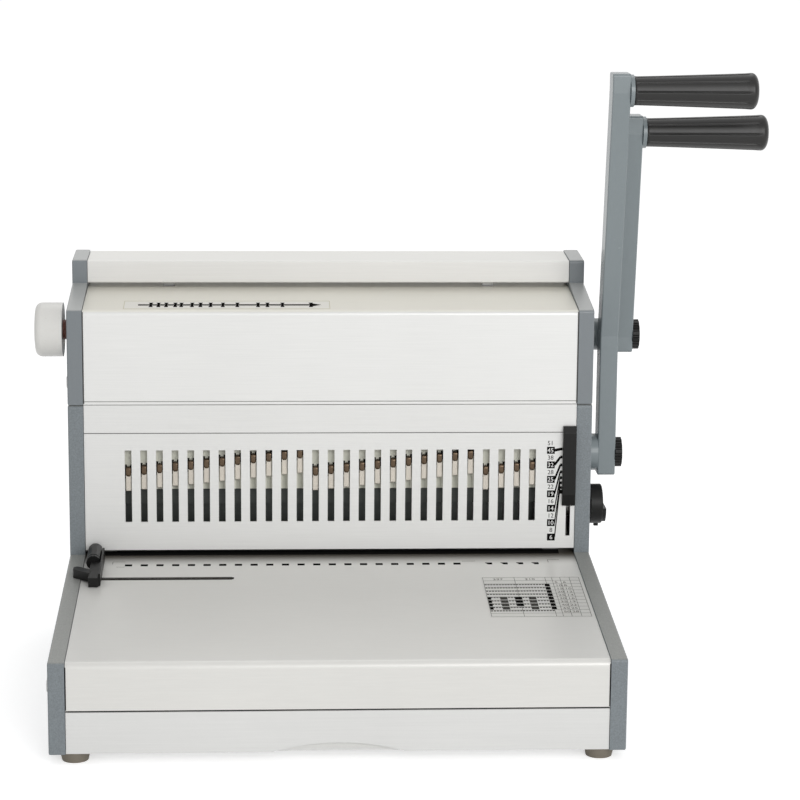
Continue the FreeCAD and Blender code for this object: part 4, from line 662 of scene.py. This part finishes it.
# Floor, light and camera: a white studio sweep lit by two broad soft lights and an even white surround. The
# camera stands where the photograph was taken from, a little above the machine and square to its front.
span = 40.0
floor_mesh = bpy.data.meshes.new("floor")
floor_mesh.from_pydata([(-span, -span, 0), (span, -span, 0), (span, span, 0), (-span, span, 0)], [], [(0, 1, 2, 3)])
floor = bpy.data.objects.new("floor", floor_mesh)
bpy.context.scene.collection.objects.link(floor)


def level_where_seen(tree, socket, unseen, seen):
    """Sets a strength to the seen level for rays from the camera, from gloss or through glass, and otherwise to
    the unseen one: the largest of the three ray marks is mapped from 0 and 1 to the two levels."""
    path = tree.nodes.new("ShaderNodeLightPath")
    mark = path.outputs["Is Camera Ray"]
    for ray in ("Is Glossy Ray", "Is Transmission Ray"):
        larger = tree.nodes.new("ShaderNodeMath")
        larger.operation = "MAXIMUM"
        tree.links.new(mark, larger.inputs[0])
        tree.links.new(path.outputs[ray], larger.inputs[1])
        mark = larger.outputs["Value"]
    level = tree.nodes.new("ShaderNodeMapRange")
    level.inputs["To Min"].default_value = unseen
    level.inputs["To Max"].default_value = seen
    tree.links.new(mark, level.inputs["Value"])
    tree.links.new(level.outputs["Result"], socket)


sweep = bpy.data.materials.new("white_sweep")
sweep.use_nodes = True
sweep_shader = sweep.node_tree.nodes["Principled BSDF"]
sweep_shader.inputs["Base Color"].default_value = (0.86, 0.86, 0.86, 1)
sweep_shader.inputs["Roughness"].default_value = 0.9
sweep_shader.inputs["Specular IOR Level"].default_value = 0.0
sweep_shader.inputs["Emission Color"].default_value = (1, 1, 1, 1)
level_where_seen(sweep.node_tree, sweep_shader.inputs["Emission Strength"], unseen=0.0, seen=0.55)
floor_mesh.materials.append(sweep)

world = bpy.data.worlds.new("studio")
bpy.context.scene.world = world
world.use_nodes = True
surround = world.node_tree.nodes["Background"]
surround.inputs["Color"].default_value = (1, 1, 1, 1)
level_where_seen(world.node_tree, surround.inputs["Strength"], unseen=0.55, seen=1.0)


def soft_light(name, place, aim, size, watts):
    """A square soft light at a place, turned to face a point."""
    lamp = bpy.data.lights.new(name, "AREA")
    lamp.size = size
    lamp.energy = watts
    held = bpy.data.objects.new(name, lamp)
    held.location = place
    held.rotation_euler = (Vector(aim) - Vector(place)).to_track_quat("-Z", "Y").to_euler()
    bpy.context.scene.collection.objects.link(held)


machine_middle = (0, 0, 0.2)
soft_light("key_light", (1.1, -3.1, 1.4), machine_middle, size=1.8, watts=45)
soft_light("rear_light", (0.2, 1.6, 2.6), machine_middle, size=1.6, watts=9)

camera_place = (-0.061696, -2.371857, 0.743916)
pitch, yaw, roll = (math.radians(turn) for turn in (11.7332, 3.0060, 0.48341))
forward = Vector((math.sin(yaw) * math.cos(pitch), math.cos(yaw) * math.cos(pitch), -math.sin(pitch)))
level = Vector((math.cos(yaw), -math.sin(yaw), 0))
upward = level.cross(forward)
rightward = level * math.cos(roll) + upward * math.sin(roll)
topward = -level * math.sin(roll) + upward * math.cos(roll)
lens = bpy.data.cameras.new("camera")
lens.sensor_width = 36.0
lens.lens = 119.253
lens.clip_end = 200.0
camera = bpy.data.objects.new("camera", lens)
camera.matrix_world = Matrix((
    (rightward.x, topward.x, -forward.x, camera_place[0]),
    (rightward.y, topward.y, -forward.y, camera_place[1]),
    (rightward.z, topward.z, -forward.z, camera_place[2]),
    (0, 0, 0, 1),
))
bpy.context.scene.collection.objects.link(camera)
bpy.context.scene.camera = camera
bpy.context.scene.view_settings.view_transform = "Standard"
